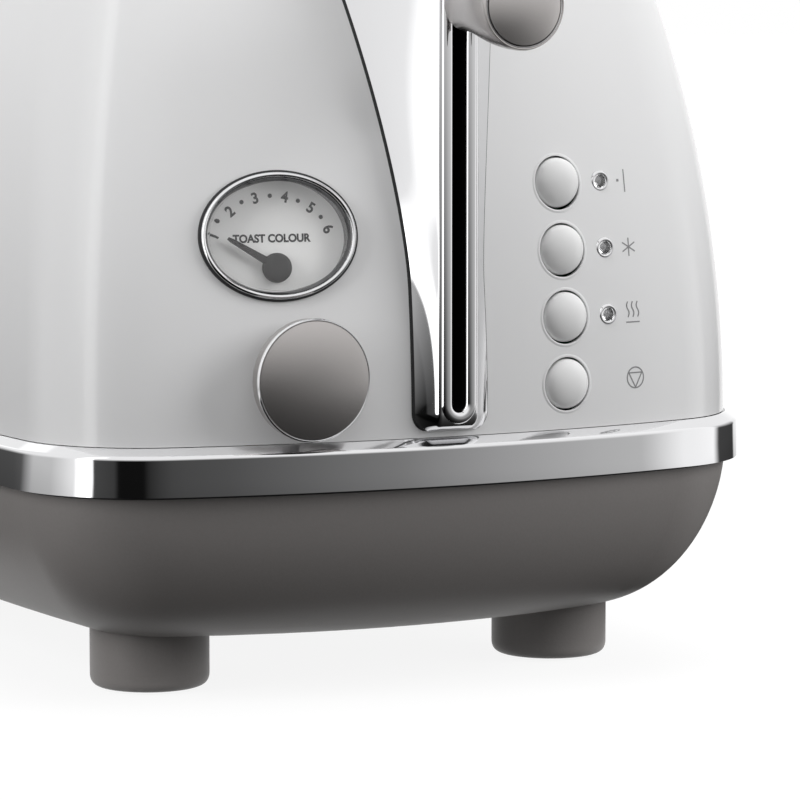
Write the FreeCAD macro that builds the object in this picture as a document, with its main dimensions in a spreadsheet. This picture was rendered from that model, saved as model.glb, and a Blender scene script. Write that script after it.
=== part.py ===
"""A two-slice pop-up toaster in the bowed, tapered retro style, as a bench assembly of separate pieces.

X runs across the toaster, -Y faces the end with the lever and the controls, and Z is up from the floor.
Pieces are drawn about the middle of the body and then moved back by row_shift, so that the origin
stands under the middle of the whole toaster with its lever.
"""
import FreeCAD, Part
import math
import os
import re
import Sketcher
from FreeCAD import Placement, Rotation, Vector

doc = FreeCAD.newDocument("Toaster")

# Driving sizes in millimetres (angles in degrees).
SIZES = {
    "Body outline": (
        ("band_width", 195.0, "width over the trim band"),
        ("band_length", 285.0, "length over the trim band"),
        ("end_bow", 16.6, "how far each end bows out"),
        ("side_bow", 7.7, "how far each side bows out"),
        ("corner_round", 34.0, "plan radius of the band's corners"),
        ("band_bottom", 51.0, "underside of the trim band"),
        ("band_shoulder", 60.0, "where the band's top starts to slope in"),
        ("band_top", 62.0, "foot of the painted shell"),
        ("band_inset", 3.0, "shell's step in from the band"),
        ("band_depth", 6.0, "band's depth from front to back"),
    ),
    "Painted shell and top": (
        ("shell_wall", 1.0, "sheet thickness of the shell"),
        ("side_curve", 450.0, "radius of the sides, seen from the end"),
        ("end_curve", 314.0, "radius of the ends, seen from the side"),
        ("shoulder_start", 186.0, "height where the shoulder begins"),
        ("shoulder_round", 22.0, "radius of the shoulder"),
        ("cover_edge", 205.8, "height where the top cover takes over"),
        ("cover_wall", 1.0, "sheet thickness of the top cover"),
        ("rim_height", 1.5, "rolled rim round each bread slot"),
        ("rim_width", 1.6, "width of that rim"),
        ("slot_corner", 7.0, "corner radius of a bread slot"),
        ("seat_gap", 0.1, "gap between pieces that seat on each other"),
    ),
    "Base": (
        ("tray_floor", 14.3, "underside of the base"),
        ("tray_wall", 2.5, "wall of the base"),
        ("tray_inset", 2.5, "base rim's step in from the band"),
        ("tray_round", 24.0, "how far the base curves in"),
        ("tray_draft", 0.08, "lean of the base's wall"),
        ("rail_height", 5.0, "runners under the crumb tray"),
        ("rail_width", 4.0, "width of a runner"),
        ("foot_x", 53.5, "feet from the centre line"),
        ("foot_setback", 54.4, "feet from the band's end"),
        ("foot_radius", 14.15, "radius of a foot"),
        ("foot_round", 4.5, "rounding under a foot"),
        ("pad_radius", 8.0, "rubber pad in a foot"),
        ("pad_height", 1.6, "thickness of the pad"),
        ("pad_proud", 0.5, "pad standing below its foot"),
        ("screw_radius", 1.5, "shank of a foot screw"),
        ("screw_head", 3.0, "head radius of a foot screw"),
        ("screw_head_height", 2.0, "head height of a foot screw"),
        ("screw_length", 6.0, "screw above the foot"),
        ("gland_x", 62.0, "cord outlet from the centre line"),
        ("gland_z", 34.0, "height of the cord outlet"),
        ("gland_radius", 6.0, "barrel of the cord gland"),
        ("gland_bore", 3.5, "radius of the cord's hole"),
        ("gland_flange", 8.5, "flange radius of the gland"),
        ("gland_length", 12.0, "barrel behind the flange"),
        ("gland_flange_thick", 2.0, "thickness of the flange"),
    ),
    "Fin, slot and lever": (
        ("fin_proud", 1.5, "fin's front face beyond the band's end"),
        ("fin_foot", 63.5, "lower end of the fin"),
        ("fin_face", 5.2, "half width of the fin's front face"),
        ("fin_root", 9.3, "half width of the fin at its foot"),
        ("fin_flare_start", 98.0, "height where the root widens"),
        ("fin_flare", 9.3, "widening of the root at the lever"),
        ("fin_flare_top", 16.0, "further widening at the top"),
        ("fin_bend", 176.0, "height where the fin turns back"),
        ("fin_nose", 32.0, "radius of that turn"),
        ("fin_wall", 2.5, "front wall of the fin"),
        ("fin_hollow", 4.2, "half width of the hollow behind the slot"),
        ("fin_face_share", 0.25, "share of the root's widening that the face takes"),
        ("fin_flare_curve", 1.4, "how late the root widens, as a power"),
        ("fin_dish", 0.12, "how far the flanks are dished, as a share of their slant"),
        ("fin_dish_back", 0.1, "how far back the dish lies, as a share of the flank"),
        ("fin_dish_least", 0.3, "least dish of a flank"),
        ("fin_bed", 6.0, "fin's blank behind the face of the shell"),
        ("bezel_side", 2.8, "slot bezel to each side of the slot"),
        ("bezel_rim", 2.7, "slot bezel below and above the slot"),
        ("bezel_proud", 0.8, "bezel in front of the fin"),
        ("slot_gap", 3.4, "width of the lever slot"),
        ("slot_run", 4.7, "slot below the arm when it is latched"),
        ("slot_over", 2.1, "slot above the arm at its highest"),
        ("lever_z", 160.7, "height of the lever at rest"),
        ("lever_reach", 34.3, "lever's cap beyond the band's end"),
        ("lever_gap", 4.3, "lever knob in front of the fin"),
        ("lever_radius", 10.4, "lever knob at its front"),
        ("lever_waist", 6.4, "lever knob at its rear"),
        ("cap_radius", 8.7, "lever cap"),
        ("cap_height", 3.4, "lever cap, front to back"),
        ("ring_radius", 9.6, "bright ring round the cap"),
        ("ring_height", 2.6, "ring, front to back"),
        ("arm_thick", 2.0, "thickness of the lever arm"),
        ("arm_height", 8.0, "height of the lever arm"),
        ("arm_grip", 12.0, "arm's length inside the knob"),
        ("travel_down", 84.0, "lever travel to the latch"),
        ("travel_up", 8.0, "extra lift above rest"),
    ),
    "Chamber and carriage": (
        ("bay_depth", 62.5, "band's end to the chamber's end plate"),
        ("side_bay", 43.5, "band's side to the reflector"),
        ("card_gap", 8.0, "reflector to the outer heater card"),
        ("slot_margin", 7.5, "heater card to the edge of a bread slot"),
        ("slot_end_margin", 10.0, "bread slot's end to the end plate"),
        ("plate_thick", 1.0, "sheet of the end plates"),
        ("plate_top", 200.0, "top of the end plates"),
        ("chamber_floor", 38.0, "lower edge of the reflectors"),
        ("chamber_roof", 196.0, "upper edge of the reflectors"),
        ("reflector_thick", 0.6, "sheet of the reflectors"),
        ("card_thick", 0.8, "mica heater card"),
        ("ribbon_thick", 0.4, "heating ribbon"),
        ("ribbon_height", 1.6, "width of the ribbon"),
        ("ribbon_first", 52.0, "height of the lowest ribbon"),
        ("ribbon_pitch", 18.0, "height from one ribbon to the next"),
        ("guard_inset", 1.5, "bread guard inside the slot's edge"),
        ("guard_wire", 1.0, "radius of a guard wire"),
        ("guard_travel", 5.0, "how far a guard closes on the bread"),
        ("guard_foot", 46.0, "lower cross wire of a guard"),
        ("guard_head", 194.0, "upper cross wire of a guard"),
        ("rack_z", 131.0, "top of a bread rack at rest"),
        ("rack_width", 12.0, "width of a bread rack"),
        ("rack_thick", 1.5, "sheet of a bread rack"),
        ("rack_lip", 4.0, "turned-up ends of a rack"),
        ("carriage_stand", 20.0, "carriage's front, forward of the front end plate"),
        ("carriage_thick", 3.0, "carriage plate"),
        ("carriage_side", 4.0, "carriage outside the middle of a bread slot"),
        ("carriage_foot", 128.0, "lower edge of the carriage at rest"),
        ("carriage_head", 172.0, "upper edge of the carriage at rest"),
        ("rod_x", 14.0, "guide rods from the centre line"),
        ("rod_radius", 3.0, "guide rod"),
        ("rod_gap", 8.0, "rod's axis behind the carriage plate's front"),
        ("slide_fit", 0.08, "radial play of the carriage on its rods"),
        ("boss_half", 6.0, "half width of a carriage boss"),
        ("ear_low", 22.0, "lower ear of the front end plate"),
        ("ear_high", 186.0, "upper ear of the front end plate"),
        ("ear_thick", 2.0, "thickness of an ear"),
        ("ear_half", 24.0, "half width of an ear"),
        ("ear_reach", 21.0, "how far an ear stands forward"),
        ("spring_wire", 0.6, "wire radius of the lift spring"),
        ("spring_radius", 5.0, "coil radius of the lift spring"),
        ("spring_turns", 13.0, "turns of the lift spring"),
        ("magnet_half", 7.0, "half width of the electromagnet"),
        ("magnet_gap", 0.3, "armature above the magnet when latched"),
        ("armature_thick", 3.0, "steel armature"),
    ),
    "Crumb tray": (
        ("crumb_half", 44.0, "half width of the crumb tray"),
        ("crumb_height", 8.0, "height of the crumb tray"),
        ("crumb_wall", 1.0, "sheet of the crumb tray"),
        ("crumb_play", 2.0, "room round the tray in its openings"),
        ("crumb_lead", 6.0, "tray's front behind the front end plate"),
        ("rail_lead", 5.0, "runners' front behind the front end plate"),
        ("rail_short", 10.0, "runners short of the tray's rear edge"),
        ("crumb_tail", 14.0, "band's end to the tray's rear edge"),
        ("handle_half", 34.0, "half width of its handle"),
        ("handle_height", 10.0, "height of its handle"),
        ("handle_depth", 8.0, "handle, front to back"),
    ),
    "Controls": (
        ("knob_x", -35.8, "browning knob across"),
        ("knob_clear", 0.7, "browning knob above the trim band"),
        ("knob_radius", 14.0, "browning knob"),
        ("knob_depth", 4.4, "side wall of the browning knob"),
        ("knob_gap", 0.4, "knob in front of the nearest part of the shell"),
        ("knob_ring_width", 0.9, "bright ring round the knob's face"),
        ("shaft_radius", 3.0, "knob shaft"),
        ("shaft_hole", 4.0, "its hole in the shell"),
        ("bracket_back", 26.5, "control brackets' front behind the band's end"),
        ("bracket_thick", 1.6, "plate of a control bracket"),
        ("bracket_inner", 20.0, "inner edge of a bracket"),
        ("bracket_outer", 64.0, "outer edge of a bracket"),
        ("bracket_low", 64.0, "lower edge of a bracket"),
        ("bracket_high", 124.0, "upper edge of a bracket"),
        ("leg_radius", 2.5, "legs of a bracket"),
        ("leg_clear", 10.0, "inner legs outside the middle of a bread slot"),
        ("leg_outer", 58.0, "outer legs"),
        ("leg_inset", 2.6, "legs in from the bracket's lower and upper edges"),
        ("pot_radius", 7.0, "potentiometer"),
        ("pot_depth", 10.0, "potentiometer, front to back"),
        ("gear_module", 0.8, "tooth size of the gauge's gears"),
        ("gear_thick", 2.5, "face width of a gear"),
        ("pin_bite", 1.0, "pointer gear's pin in its hub"),
        ("gear_lift", 1.0, "gear in front of its bracket"),
        ("knob_teeth", 12, "teeth on the knob's gear"),
        ("idler_teeth", 14, "teeth on the idler"),
        ("pointer_teeth", 27, "teeth on the pointer's gear"),
        ("pin_radius", 1.5, "gear pins"),
        ("pin_fit", 0.06, "radial play of a gear on its pin"),
        ("gauge_x", -40.1, "gauge across"),
        ("gauge_z", 108.8, "gauge's height"),
        ("gauge_half_x", 18.15, "half width of the gauge bezel"),
        ("gauge_half_z", 14.4, "half height of the gauge bezel"),
        ("gauge_flange", 1.0, "bezel's flange outside its hole"),
        ("gauge_rim", 1.9, "bezel's rim, edge to dial"),
        ("gauge_proud", 1.2, "bezel in front of the shell"),
        ("gauge_barrel", 5.0, "bezel's depth behind the shell"),
        ("dial_depth", 3.2, "dial behind the shell's face"),
        ("dial_thick", 1.0, "dial plate"),
        ("lens_thick", 1.0, "clear lens"),
        ("lens_lift", 0.8, "front of the lens above the shell's face"),
        ("needle_drop", 7.0, "needle hub below the gauge's middle"),
        ("needle_length", 11.7, "needle from its hub"),
        ("needle_angle", 149.0, "needle at 1, from the +X side"),
        ("needle_width", 1.2, "needle at its root"),
        ("needle_hub", 3.4, "radius of the needle's hub"),
        ("spindle_radius", 0.9, "needle spindle"),
        ("spindle_reach", 13.0, "spindle behind the shell's face"),
        ("ball_radius", 1.3, "ball end of the spindle"),
        ("button_x", 31.5, "buttons across"),
        ("button_z", 119.1, "height of the top button"),
        ("button_pitch", 15.53, "from one button to the next"),
        ("button_radius", 5.9, "radius of a button"),
        ("button_proud", 1.8, "button in front of the shell"),
        ("button_cap", 8.0, "length of a button's cap"),
        ("button_round", 1.5, "rounding of a button's face"),
        ("button_play", 0.25, "gap round a button"),
        ("button_travel", 1.5, "press of a button"),
        ("button_stem", 2.0, "radius of a button's stem"),
        ("switch_height", 3.5, "tact switch on the board"),
        ("switch_half", 3.0, "half width of a tact switch"),
        ("plunger_radius", 1.6, "plunger of a tact switch"),
        ("plunger_height", 1.0, "plunger above its switch"),
        ("board_thick", 1.6, "control board"),
        ("lamp_x", 43.7, "indicator lamps across"),
        ("lamp_z", 119.2, "height of the top lamp"),
        ("lamp_ring", 2.5, "outer radius of a lamp's ring"),
        ("lamp_lens", 1.75, "radius of a lamp's lens"),
        ("lamp_proud", 0.6, "lamp ring in front of the shell"),
        ("lamp_depth", 3.5, "lamp ring behind the shell's face"),
        ("led_height", 2.8, "indicator light on the board"),
    ),
}
BUTTONS = ("button_one_side", "button_defrost", "button_reheat", "button_cancel")
LAMPS = 3
GUARD_WIRES = 9
RIBBONS = 8
PLAY = "0.05"


def make_sheet():
    """Write every driving size into the sheet: its name, its value and what it is."""
    table = doc.addObject("Spreadsheet::Sheet", "Sizes")
    row = 1
    for heading, entries in SIZES.items():
        table.set(f"A{row}", heading)
        row += 1
        for name, value, meaning in entries:
            table.set(f"A{row}", name)
            table.set(f"B{row}", str(value))
            table.setAlias(f"B{row}", name)
            table.set(f"C{row}", meaning)
            row += 1
    doc.recompute()
    return table


sheet = make_sheet()
NAMES = {name: "Sizes" for entries in SIZES.values() for name, value, meaning in entries}


def formula(text):
    """Turn a formula of plain size names into one that the document can work out."""
    def full_name(word):
        home = NAMES.get(word.group())
        return f"{home}.{word.group()}" if home else word.group()
    return re.sub(r"[a-z]\w*", full_name, str(text))


def bowed(radius, rise):
    """How far an arc of this radius has turned in after rising this far."""
    return f"({radius} - sqrt({radius} ^ 2 - ({rise}) ^ 2))"


def face_at(across, height):
    """The front face of the shell at a place on it, as a formula for its Y."""
    rise = f"({height} - band_top)"
    half = f"(band_width / 2 - band_inset - {bowed('side_curve', rise)})"
    radius = f"(({half} ^ 2 + end_bow ^ 2) / (2 * end_bow))"
    front = f"(band_length / 2 - band_inset - {bowed('end_curve', rise)})"
    return f"{bowed(radius, across)} - {front}"


def tray_at(across, height):
    """The rear face of the base at a place on it, as a formula for its Y."""
    drop = f"(band_bottom - seat_gap - {height})"
    share = f"({drop} / (band_bottom - seat_gap - tray_floor))"
    step = f"(tray_inset + tray_draft * {drop} + tray_round * (1 - sqrt(1 - {share} ^ 2)))"
    half = f"(band_width / 2 - {step})"
    radius = f"(({half} ^ 2 + end_bow ^ 2) / (2 * end_bow))"
    return f"band_length / 2 - {step} - {bowed(radius, across)}"


# Places worked out from the driving sizes.
PLACES = {
    "half_width": "band_width / 2",
    "half_length": "band_length / 2",
    "row_shift": "lever_reach / 2",
    "lever_front": "band_length / 2 + lever_reach",
    "lever_rear": "band_length / 2 + fin_proud + lever_gap",
    "fin_front": "band_length / 2 + fin_proud",
    "slot_foot": "lever_z - travel_down - arm_height / 2 - slot_run",
    "slot_head": "lever_z + travel_up + arm_height / 2 + slot_over",
    "bezel_foot": "lever_z - travel_down - arm_height / 2 - slot_run - bezel_rim",
    "bezel_head": "lever_z + travel_up + arm_height / 2 + slot_over + bezel_rim",
    "bezel_width": "slot_gap + 2 * bezel_side",
    "knob_z": "band_top + knob_clear + knob_radius",
    "carriage_half": "(band_width / 2 - side_bay - card_gap) / 2 + carriage_side",
    "leg_inner": "(band_width / 2 - side_bay - card_gap) / 2 + leg_clear",
    "plate_y": "band_length / 2 - bay_depth",
    "reflector_x": "band_width / 2 - side_bay",
    "card_x": "band_width / 2 - side_bay - card_gap",
    "bread_x": "(band_width / 2 - side_bay - card_gap) / 2",
    "bread_width": "band_width / 2 - side_bay - card_gap - 2 * slot_margin",
    "bread_length": "band_length - 2 * bay_depth - 2 * slot_end_margin",
    "guard_x": "(band_width / 2 - side_bay - card_gap) / 2 - slot_margin - guard_inset",
    "tray_inside": "tray_floor + tray_wall",
    "crumb_z": "tray_floor + tray_wall + rail_height + 0.2",
    "foot_y": "band_length / 2 - foot_setback",
    "carriage_y": "band_length / 2 - bay_depth + carriage_stand",
    "rod_y": "band_length / 2 - bay_depth + carriage_stand - rod_gap",
    "control_y": "band_length / 2 - bracket_back",
    "knob_face": face_at("(abs(knob_x) - knob_radius)", "(band_top + knob_clear)"),
    "gland_wall": tray_at("gland_x", "gland_z"),
    "gauge_face": face_at("gauge_x", "gauge_z"),
}
for number in range(len(BUTTONS)):
    PLACES[f"button_face_{number + 1}"] = face_at("button_x", f"(button_z - {number} * button_pitch)")
for number in range(LAMPS):
    PLACES[f"lamp_face_{number + 1}"] = face_at("lamp_x", f"(lamp_z - {number} * button_pitch)")


def make_places():
    """Keep the worked-out places in one object, each bound to the sheet."""
    group = doc.addObject("App::VarSet", "Places")
    for name, text in PLACES.items():
        group.addProperty("App::PropertyFloat", name, "Places")
        group.setExpression(name, formula(text))
    doc.recompute()
    return group


places = make_places()
NAMES.update({name: "Places" for name in PLACES})


def size(name):
    """The number that a size or a place holds now."""
    return float(getattr(sheet if NAMES[name] == "Sizes" else places, name))


# ---------------------------------------------------------------- building blocks

ALONG = {"X": Rotation(Vector(0, 1, 0), 90), "Y": Rotation(Vector(1, 0, 0), -90), "Z": Rotation()}
spots = {}
subparts = []


def place(item, at):
    """Put an object at three formulas and remember them."""
    spots[item.Name] = at
    for axis, text in zip("xyz", at):
        item.setExpression(f"Placement.Base.{axis}", formula(text))
    return item


def box(name, lengths, at):
    """A box of three lengths with its low corner at a place."""
    item = doc.addObject("Part::Box", name)
    for side, text in zip(("Length", "Width", "Height"), lengths):
        item.setExpression(side, formula(text))
    return place(item, at)


def slab(name, half_x, y_front, depth, z_low, z_high, x_mid="0"):
    """A box that is centred across on x_mid and runs back from its front face."""
    return box(name, (f"2 * ({half_x})", depth, f"({z_high}) - ({z_low})"),
               (f"({x_mid}) - ({half_x})", y_front, z_low))


def rod(name, radius, length, at, along="Y"):
    """A round bar from a place, towards the positive end of an axis."""
    item = doc.addObject("Part::Cylinder", name)
    item.setExpression("Radius", formula(radius))
    item.setExpression("Height", formula(length))
    item.Placement = Placement(Vector(), ALONG[along])
    return place(item, at)


def fuse(name, *items):
    """One solid from several that overlap or touch."""
    item = doc.addObject("Part::MultiFuse", name)
    item.Shapes = list(items)
    return item


def group(name, *items):
    """Several solids of one kind, kept apart in one sub-part."""
    item = doc.addObject("Part::Compound", name)
    item.Links = list(items)
    return item


def cut(name, base, *tools):
    """A solid less the tools."""
    item = doc.addObject("Part::Cut", name)
    item.Base = base
    item.Tool = tools[0] if len(tools) == 1 else fuse(name + "_tools", *tools)
    return item


def solid_of(name, shape):
    """A plain feature that holds a shape made by the functions below."""
    item = doc.addObject("Part::Feature", name)
    item.Shape = shape
    return item


def subpart(label, item):
    """Name a finished piece after its file and move it back with the rest."""
    item.Label = label
    x, y, z = spots.get(item.Name, ("0", "0", "0"))
    place(item, (x, f"{y} + row_shift", z))
    subparts.append(item)
    return item


def origin_plane(body, role):
    """One of a body's own three origin planes."""
    return next(feature for feature in body.Origin.OriginFeatures if feature.Role == role)


def outline_sketch(body, role, corners, name):
    """A closed outline of straight edges whose corners are pairs of formulas."""
    sketch = body.newObject("Sketcher::SketchObject", name)
    sketch.AttachmentSupport = [(origin_plane(body, role), "")]
    sketch.MapMode = "FlatFace"
    count = len(corners)
    spokes = [Vector(math.cos(math.tau * n / count), math.sin(math.tau * n / count), 0) for n in range(count)]
    for number in range(count):
        sketch.addGeometry(Part.LineSegment(spokes[number], spokes[(number + 1) % count]))
    for number in range(count):
        sketch.addConstraint(Sketcher.Constraint("Coincident", number, 2, (number + 1) % count, 1))
    for number, corner in enumerate(corners):
        for kind, text, value in zip(("DistanceX", "DistanceY"), corner, spokes[number]):
            index = sketch.addConstraint(Sketcher.Constraint(kind, -1, 1, number, 1, value))
            sketch.setExpression(f"Constraints[{index}]", formula(text))
    return sketch


def circle_sketch(body, role, radius, name):
    """A circle about the body's origin."""
    sketch = body.newObject("Sketcher::SketchObject", name)
    sketch.AttachmentSupport = [(origin_plane(body, role), "")]
    sketch.MapMode = "FlatFace"
    sketch.addGeometry(Part.Circle(Vector(), Vector(0, 0, 1), 5))
    sketch.addConstraint(Sketcher.Constraint("Coincident", 0, 3, -1, 1))
    index = sketch.addConstraint(Sketcher.Constraint("Radius", 0, 5))
    sketch.setExpression(f"Constraints[{index}]", formula(radius))
    return sketch


def turned(name, corners, at, along="Y"):
    """A body turned about an axis from an outline of (along, radius) corners."""
    body = doc.addObject("PartDesign::Body", name)
    if along == "Y":
        sketch = outline_sketch(body, "YZ_Plane", corners, name + "_outline")
        axis = "H_Axis"
    else:
        sketch = outline_sketch(body, "XZ_Plane", [(out, up) for up, out in corners], name + "_outline")
        axis = "V_Axis"
    turn = body.newObject("PartDesign::Revolution", name + "_turn")
    turn.Profile = sketch
    turn.ReferenceAxis = (sketch, [axis])
    turn.Angle = 360
    body.Tip = turn
    return place(body, at)


def round_rim(body, radius, side, across=0):
    """Round the edges in the lowest plane of a body along an axis that are at least this far across."""
    doc.recompute()
    base = body.Tip
    low = getattr(base.Shape.BoundBox, side)
    high_side = side.replace("Min", "Max")
    rims = []
    for number, edge in enumerate(base.Shape.Edges, 1):
        if getattr(edge.BoundBox, high_side) < low + 0.01 and edge.BoundBox.XLength >= across:
            rims.append(f"Edge{number}")
    fillet = body.newObject("PartDesign::Fillet", body.Name + "_round")
    fillet.Base = (base, rims)
    fillet.setExpression("Radius", formula(radius))
    body.Tip = fillet
    return body


def tube_corners(front, back, outer, inner):
    """The outline of a round tube between two places on its axis."""
    return [(front, inner), (front, outer), (back, outer), (back, inner)]


# ---------------------------------------------------------------- the bowed outlines

def arc(centre, radius, start, end, height):
    """A plan arc from one direction to another, given in radians."""
    angles = (start, (start + end) / 2, end)
    points = [Vector(centre[0] + radius * math.cos(a), centre[1] + radius * math.sin(a), height) for a in angles]
    return Part.Arc(*points).toShape()


def bowed_outline(half_x, half_y, corner, height):
    """The plan outline at a height: bowed ends and sides joined by tangent corners."""
    end_bow = size("end_bow")
    side_bow = size("side_bow")
    end_radius = (half_x ** 2 + end_bow ** 2) / (2 * end_bow)
    side_radius = (half_y ** 2 + side_bow ** 2) / (2 * side_bow)
    end_x, end_y = 0.0, half_y - end_radius
    side_x, side_y = half_x - side_radius, 0.0
    span = math.hypot(side_x - end_x, side_y - end_y)
    end_reach = end_radius - corner
    side_reach = side_radius - corner
    along = (span ** 2 + end_reach ** 2 - side_reach ** 2) / (2 * span)
    across = math.sqrt(end_reach ** 2 - along ** 2)
    unit = ((side_x - end_x) / span, (side_y - end_y) / span)
    corner_x = end_x + unit[0] * along - unit[1] * across
    corner_y = end_y + unit[1] * along + unit[0] * across
    if corner_x < 0 or corner_y < 0:
        corner_x = end_x + unit[0] * along + unit[1] * across
        corner_y = end_y + unit[1] * along - unit[0] * across
    end_turn = math.atan2(corner_y - end_y, corner_x - end_x)
    side_turn = math.atan2(corner_y - side_y, corner_x - side_x)
    edges = []
    for flip_x, flip_y in ((1, 1), (-1, 1), (-1, -1), (1, -1)):
        corner_at = (flip_x * corner_x, flip_y * corner_y)
        turns = [math.atan2(flip_y * math.sin(a), flip_x * math.cos(a)) for a in (side_turn, end_turn)]
        if turns[1] - turns[0] > math.pi:
            turns[0] += math.tau
        if turns[0] - turns[1] > math.pi:
            turns[1] += math.tau
        edges.append(arc(corner_at, corner, turns[0], turns[1], height))
    half_end = math.pi / 2 - end_turn
    edges.append(arc((0, end_y), end_radius, math.pi / 2 - half_end, math.pi / 2 + half_end, height))
    edges.append(arc((0, -end_y), end_radius, -math.pi / 2 - half_end, -math.pi / 2 + half_end, height))
    edges.append(arc((side_x, 0), side_radius, -side_turn, side_turn, height))
    edges.append(arc((-side_x, 0), side_radius, math.pi - side_turn, math.pi + side_turn, height))
    return Part.Wire(Part.__sortEdges__(edges))


def loft(wires):
    """A closed solid through a stack of outlines."""
    return Part.makeLoft(wires, True, False)


def turned_in(radius, rise):
    """How far an arc of this radius has turned in after rising this far."""
    return radius - math.sqrt(radius ** 2 - rise ** 2)


def shoulder_rise(height):
    return max(height - size("shoulder_start"), 0.0)


def shell_outline(height, inset):
    """The painted body's outline at a height, moved in by an inset."""
    rise = height - size("band_top")
    shoulder = turned_in(size("shoulder_round"), shoulder_rise(height))
    step = size("band_inset") + shoulder + inset
    half_x = size("half_width") - step - turned_in(size("side_curve"), rise)
    half_y = size("half_length") - step - turned_in(size("end_curve"), rise)
    corner = max(size("corner_round") - step, 6.0)
    return bowed_outline(half_x, half_y, corner, height)


def shell_heights(low, high):
    """Heights for the outlines, closer together over the shoulder."""
    start = size("shoulder_start")
    wall = [low + (start - low) * n / 8 for n in range(9)]
    lift = high - start
    return wall + [start + lift * math.sin(math.pi / 2 * n / 6) for n in range(1, 7)]


def shell_solid(inset):
    """The painted body as a closed block, moved out or in by an inset."""
    heights = shell_heights(size("band_top"), size("cover_edge"))
    return loft([shell_outline(height, inset) for height in heights])


def shell_hollow():
    """The space inside the painted shell, open past both of its ends."""
    wall = size("shell_wall")
    radius = size("shoulder_round")
    wires = []
    for height in shell_heights(size("band_top") - 1, size("cover_edge") + 0.2):
        lean = math.sqrt(1 - (shoulder_rise(height) / radius) ** 2)
        wires.append(shell_outline(height, wall / max(lean, 0.3)))
    return loft(wires)


# ---------------------------------------------------------------- shell, cover, band and base

def gauge_turn():
    """The gauge lies along the bow of the shell and leans back with it."""
    rise = size("gauge_z") - size("band_top")
    half_x = size("half_width") - size("band_inset") - turned_in(size("side_curve"), rise)
    radius = (half_x ** 2 + size("end_bow") ** 2) / (2 * size("end_bow"))
    yaw = Rotation(Vector(0, 0, 1), math.degrees(math.asin(size("gauge_x") / radius)))
    tilt = Rotation(Vector(1, 0, 0), -math.degrees(math.asin(rise / size("end_curve"))))
    return yaw.multiply(tilt)


def gauge_placement():
    """Where the gauge's own frame lies, with its middle on the shell's face."""
    return Placement(Vector(size("gauge_x"), size("gauge_face"), size("gauge_z")), gauge_turn())


def oval_block(half_x, half_z, front, back):
    """An oval prism in the gauge's frame, from a front to a back."""
    curve = Part.Ellipse(Vector(), half_x, half_z).toShape()
    curve.Placement = Placement(Vector(0, front, 0), Rotation(Vector(1, 0, 0), 90))
    return Part.Face(Part.Wire(curve)).extrude(Vector(0, back - front, 0))


def bar(radius, across, height, front, back):
    """A round bar parallel to Y, for holes in the shell."""
    return Part.makeCylinder(radius, back - front, Vector(across, front, height), Vector(0, 1, 0))


def control_holes():
    """Openings in the front of the shell for the gauge, knob, lever, buttons and lamps."""
    deep = -size("half_length")
    back = deep + 30
    rim = size("gauge_flange") - size("seat_gap")
    gauge = oval_block(size("gauge_half_x") - rim, size("gauge_half_z") - rim, -9, 9)
    gauge.Placement = gauge_placement()
    holes = [gauge, bar(size("shaft_hole"), size("knob_x"), size("knob_z"), deep, back)]
    for n in range(len(BUTTONS)):
        height = size("button_z") - n * size("button_pitch")
        holes.append(bar(size("button_radius") + size("button_play"), size("button_x"), height, deep, back))
    for n in range(LAMPS):
        height = size("lamp_z") - n * size("button_pitch")
        holes.append(bar(size("lamp_ring") + size("seat_gap"), size("lamp_x"), height, deep, back))
    lever = Part.makeBox(2 * size("fin_hollow"), 40, size("slot_head") - size("slot_foot"),
                         Vector(-size("fin_hollow"), deep, size("slot_foot")))
    return holes + [lever]


def make_shell():
    shell = shell_solid(0).cut(shell_hollow()).cut(control_holes())
    subpart("body_shell", solid_of("Shell", shell))


def slot_block(half_x, half_y, low, high, corner, across):
    """A bread slot as a block with rounded corners."""
    block = Part.makeBox(2 * half_x, 2 * half_y, high - low, Vector(across - half_x, -half_y, low))
    uprights = [edge for edge in block.Edges if edge.BoundBox.ZLength > high - low - 0.01]
    return block.makeFillet(corner, uprights)


def make_top_cover():
    """A pressed cover that carries the shoulder on to a flat top with two rimmed bread slots."""
    edge = size("cover_edge")
    wall = size("cover_wall")
    start = size("shoulder_start")
    top = start + size("shoulder_round")
    turn = math.asin((edge - start) / size("shoulder_round"))
    steps = [turn + (math.pi / 2 - turn) * n / 5 for n in range(6)]
    heights = [start + size("shoulder_round") * math.sin(step) for step in steps]
    outer = loft([shell_outline(height, 0) for height in heights])
    inner = loft([shell_outline(height, wall).translate(Vector(0, 0, -wall)) for height in heights])
    cover = outer.cut(inner)
    half_x = size("bread_width") / 2
    half_y = size("bread_length") / 2
    rim = size("rim_width")
    corner = size("slot_corner")
    high = top + size("rim_height")
    for side in (-1, 1):
        across = side * size("bread_x")
        cover = cover.fuse(slot_block(half_x + rim, half_y + rim, top - wall, high, corner + rim, across))
    for side in (-1, 1):
        across = side * size("bread_x")
        cover = cover.cut(slot_block(half_x, half_y, top - 5, high + 5, corner, across))
    subpart("top_cover", solid_of("TopCover", cover.removeSplitter()))


def band_outline(height, inset):
    half_x = size("half_width") - inset
    half_y = size("half_length") - inset
    return bowed_outline(half_x, half_y, size("corner_round") - inset, height)


def make_band():
    low, shoulder, top = size("band_bottom"), size("band_shoulder"), size("band_top")
    wall = Part.Face(band_outline(low, 0)).extrude(Vector(0, 0, shoulder - low))
    slope = loft([band_outline(shoulder, 0), band_outline(top, size("band_inset") - size("seat_gap"))])
    inside = Part.Face(band_outline(low - 1, size("band_depth"))).extrude(Vector(0, 0, top - low + 2))
    subpart("trim_band", solid_of("Band", wall.fuse(slope).cut(inside).removeSplitter()))


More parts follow.
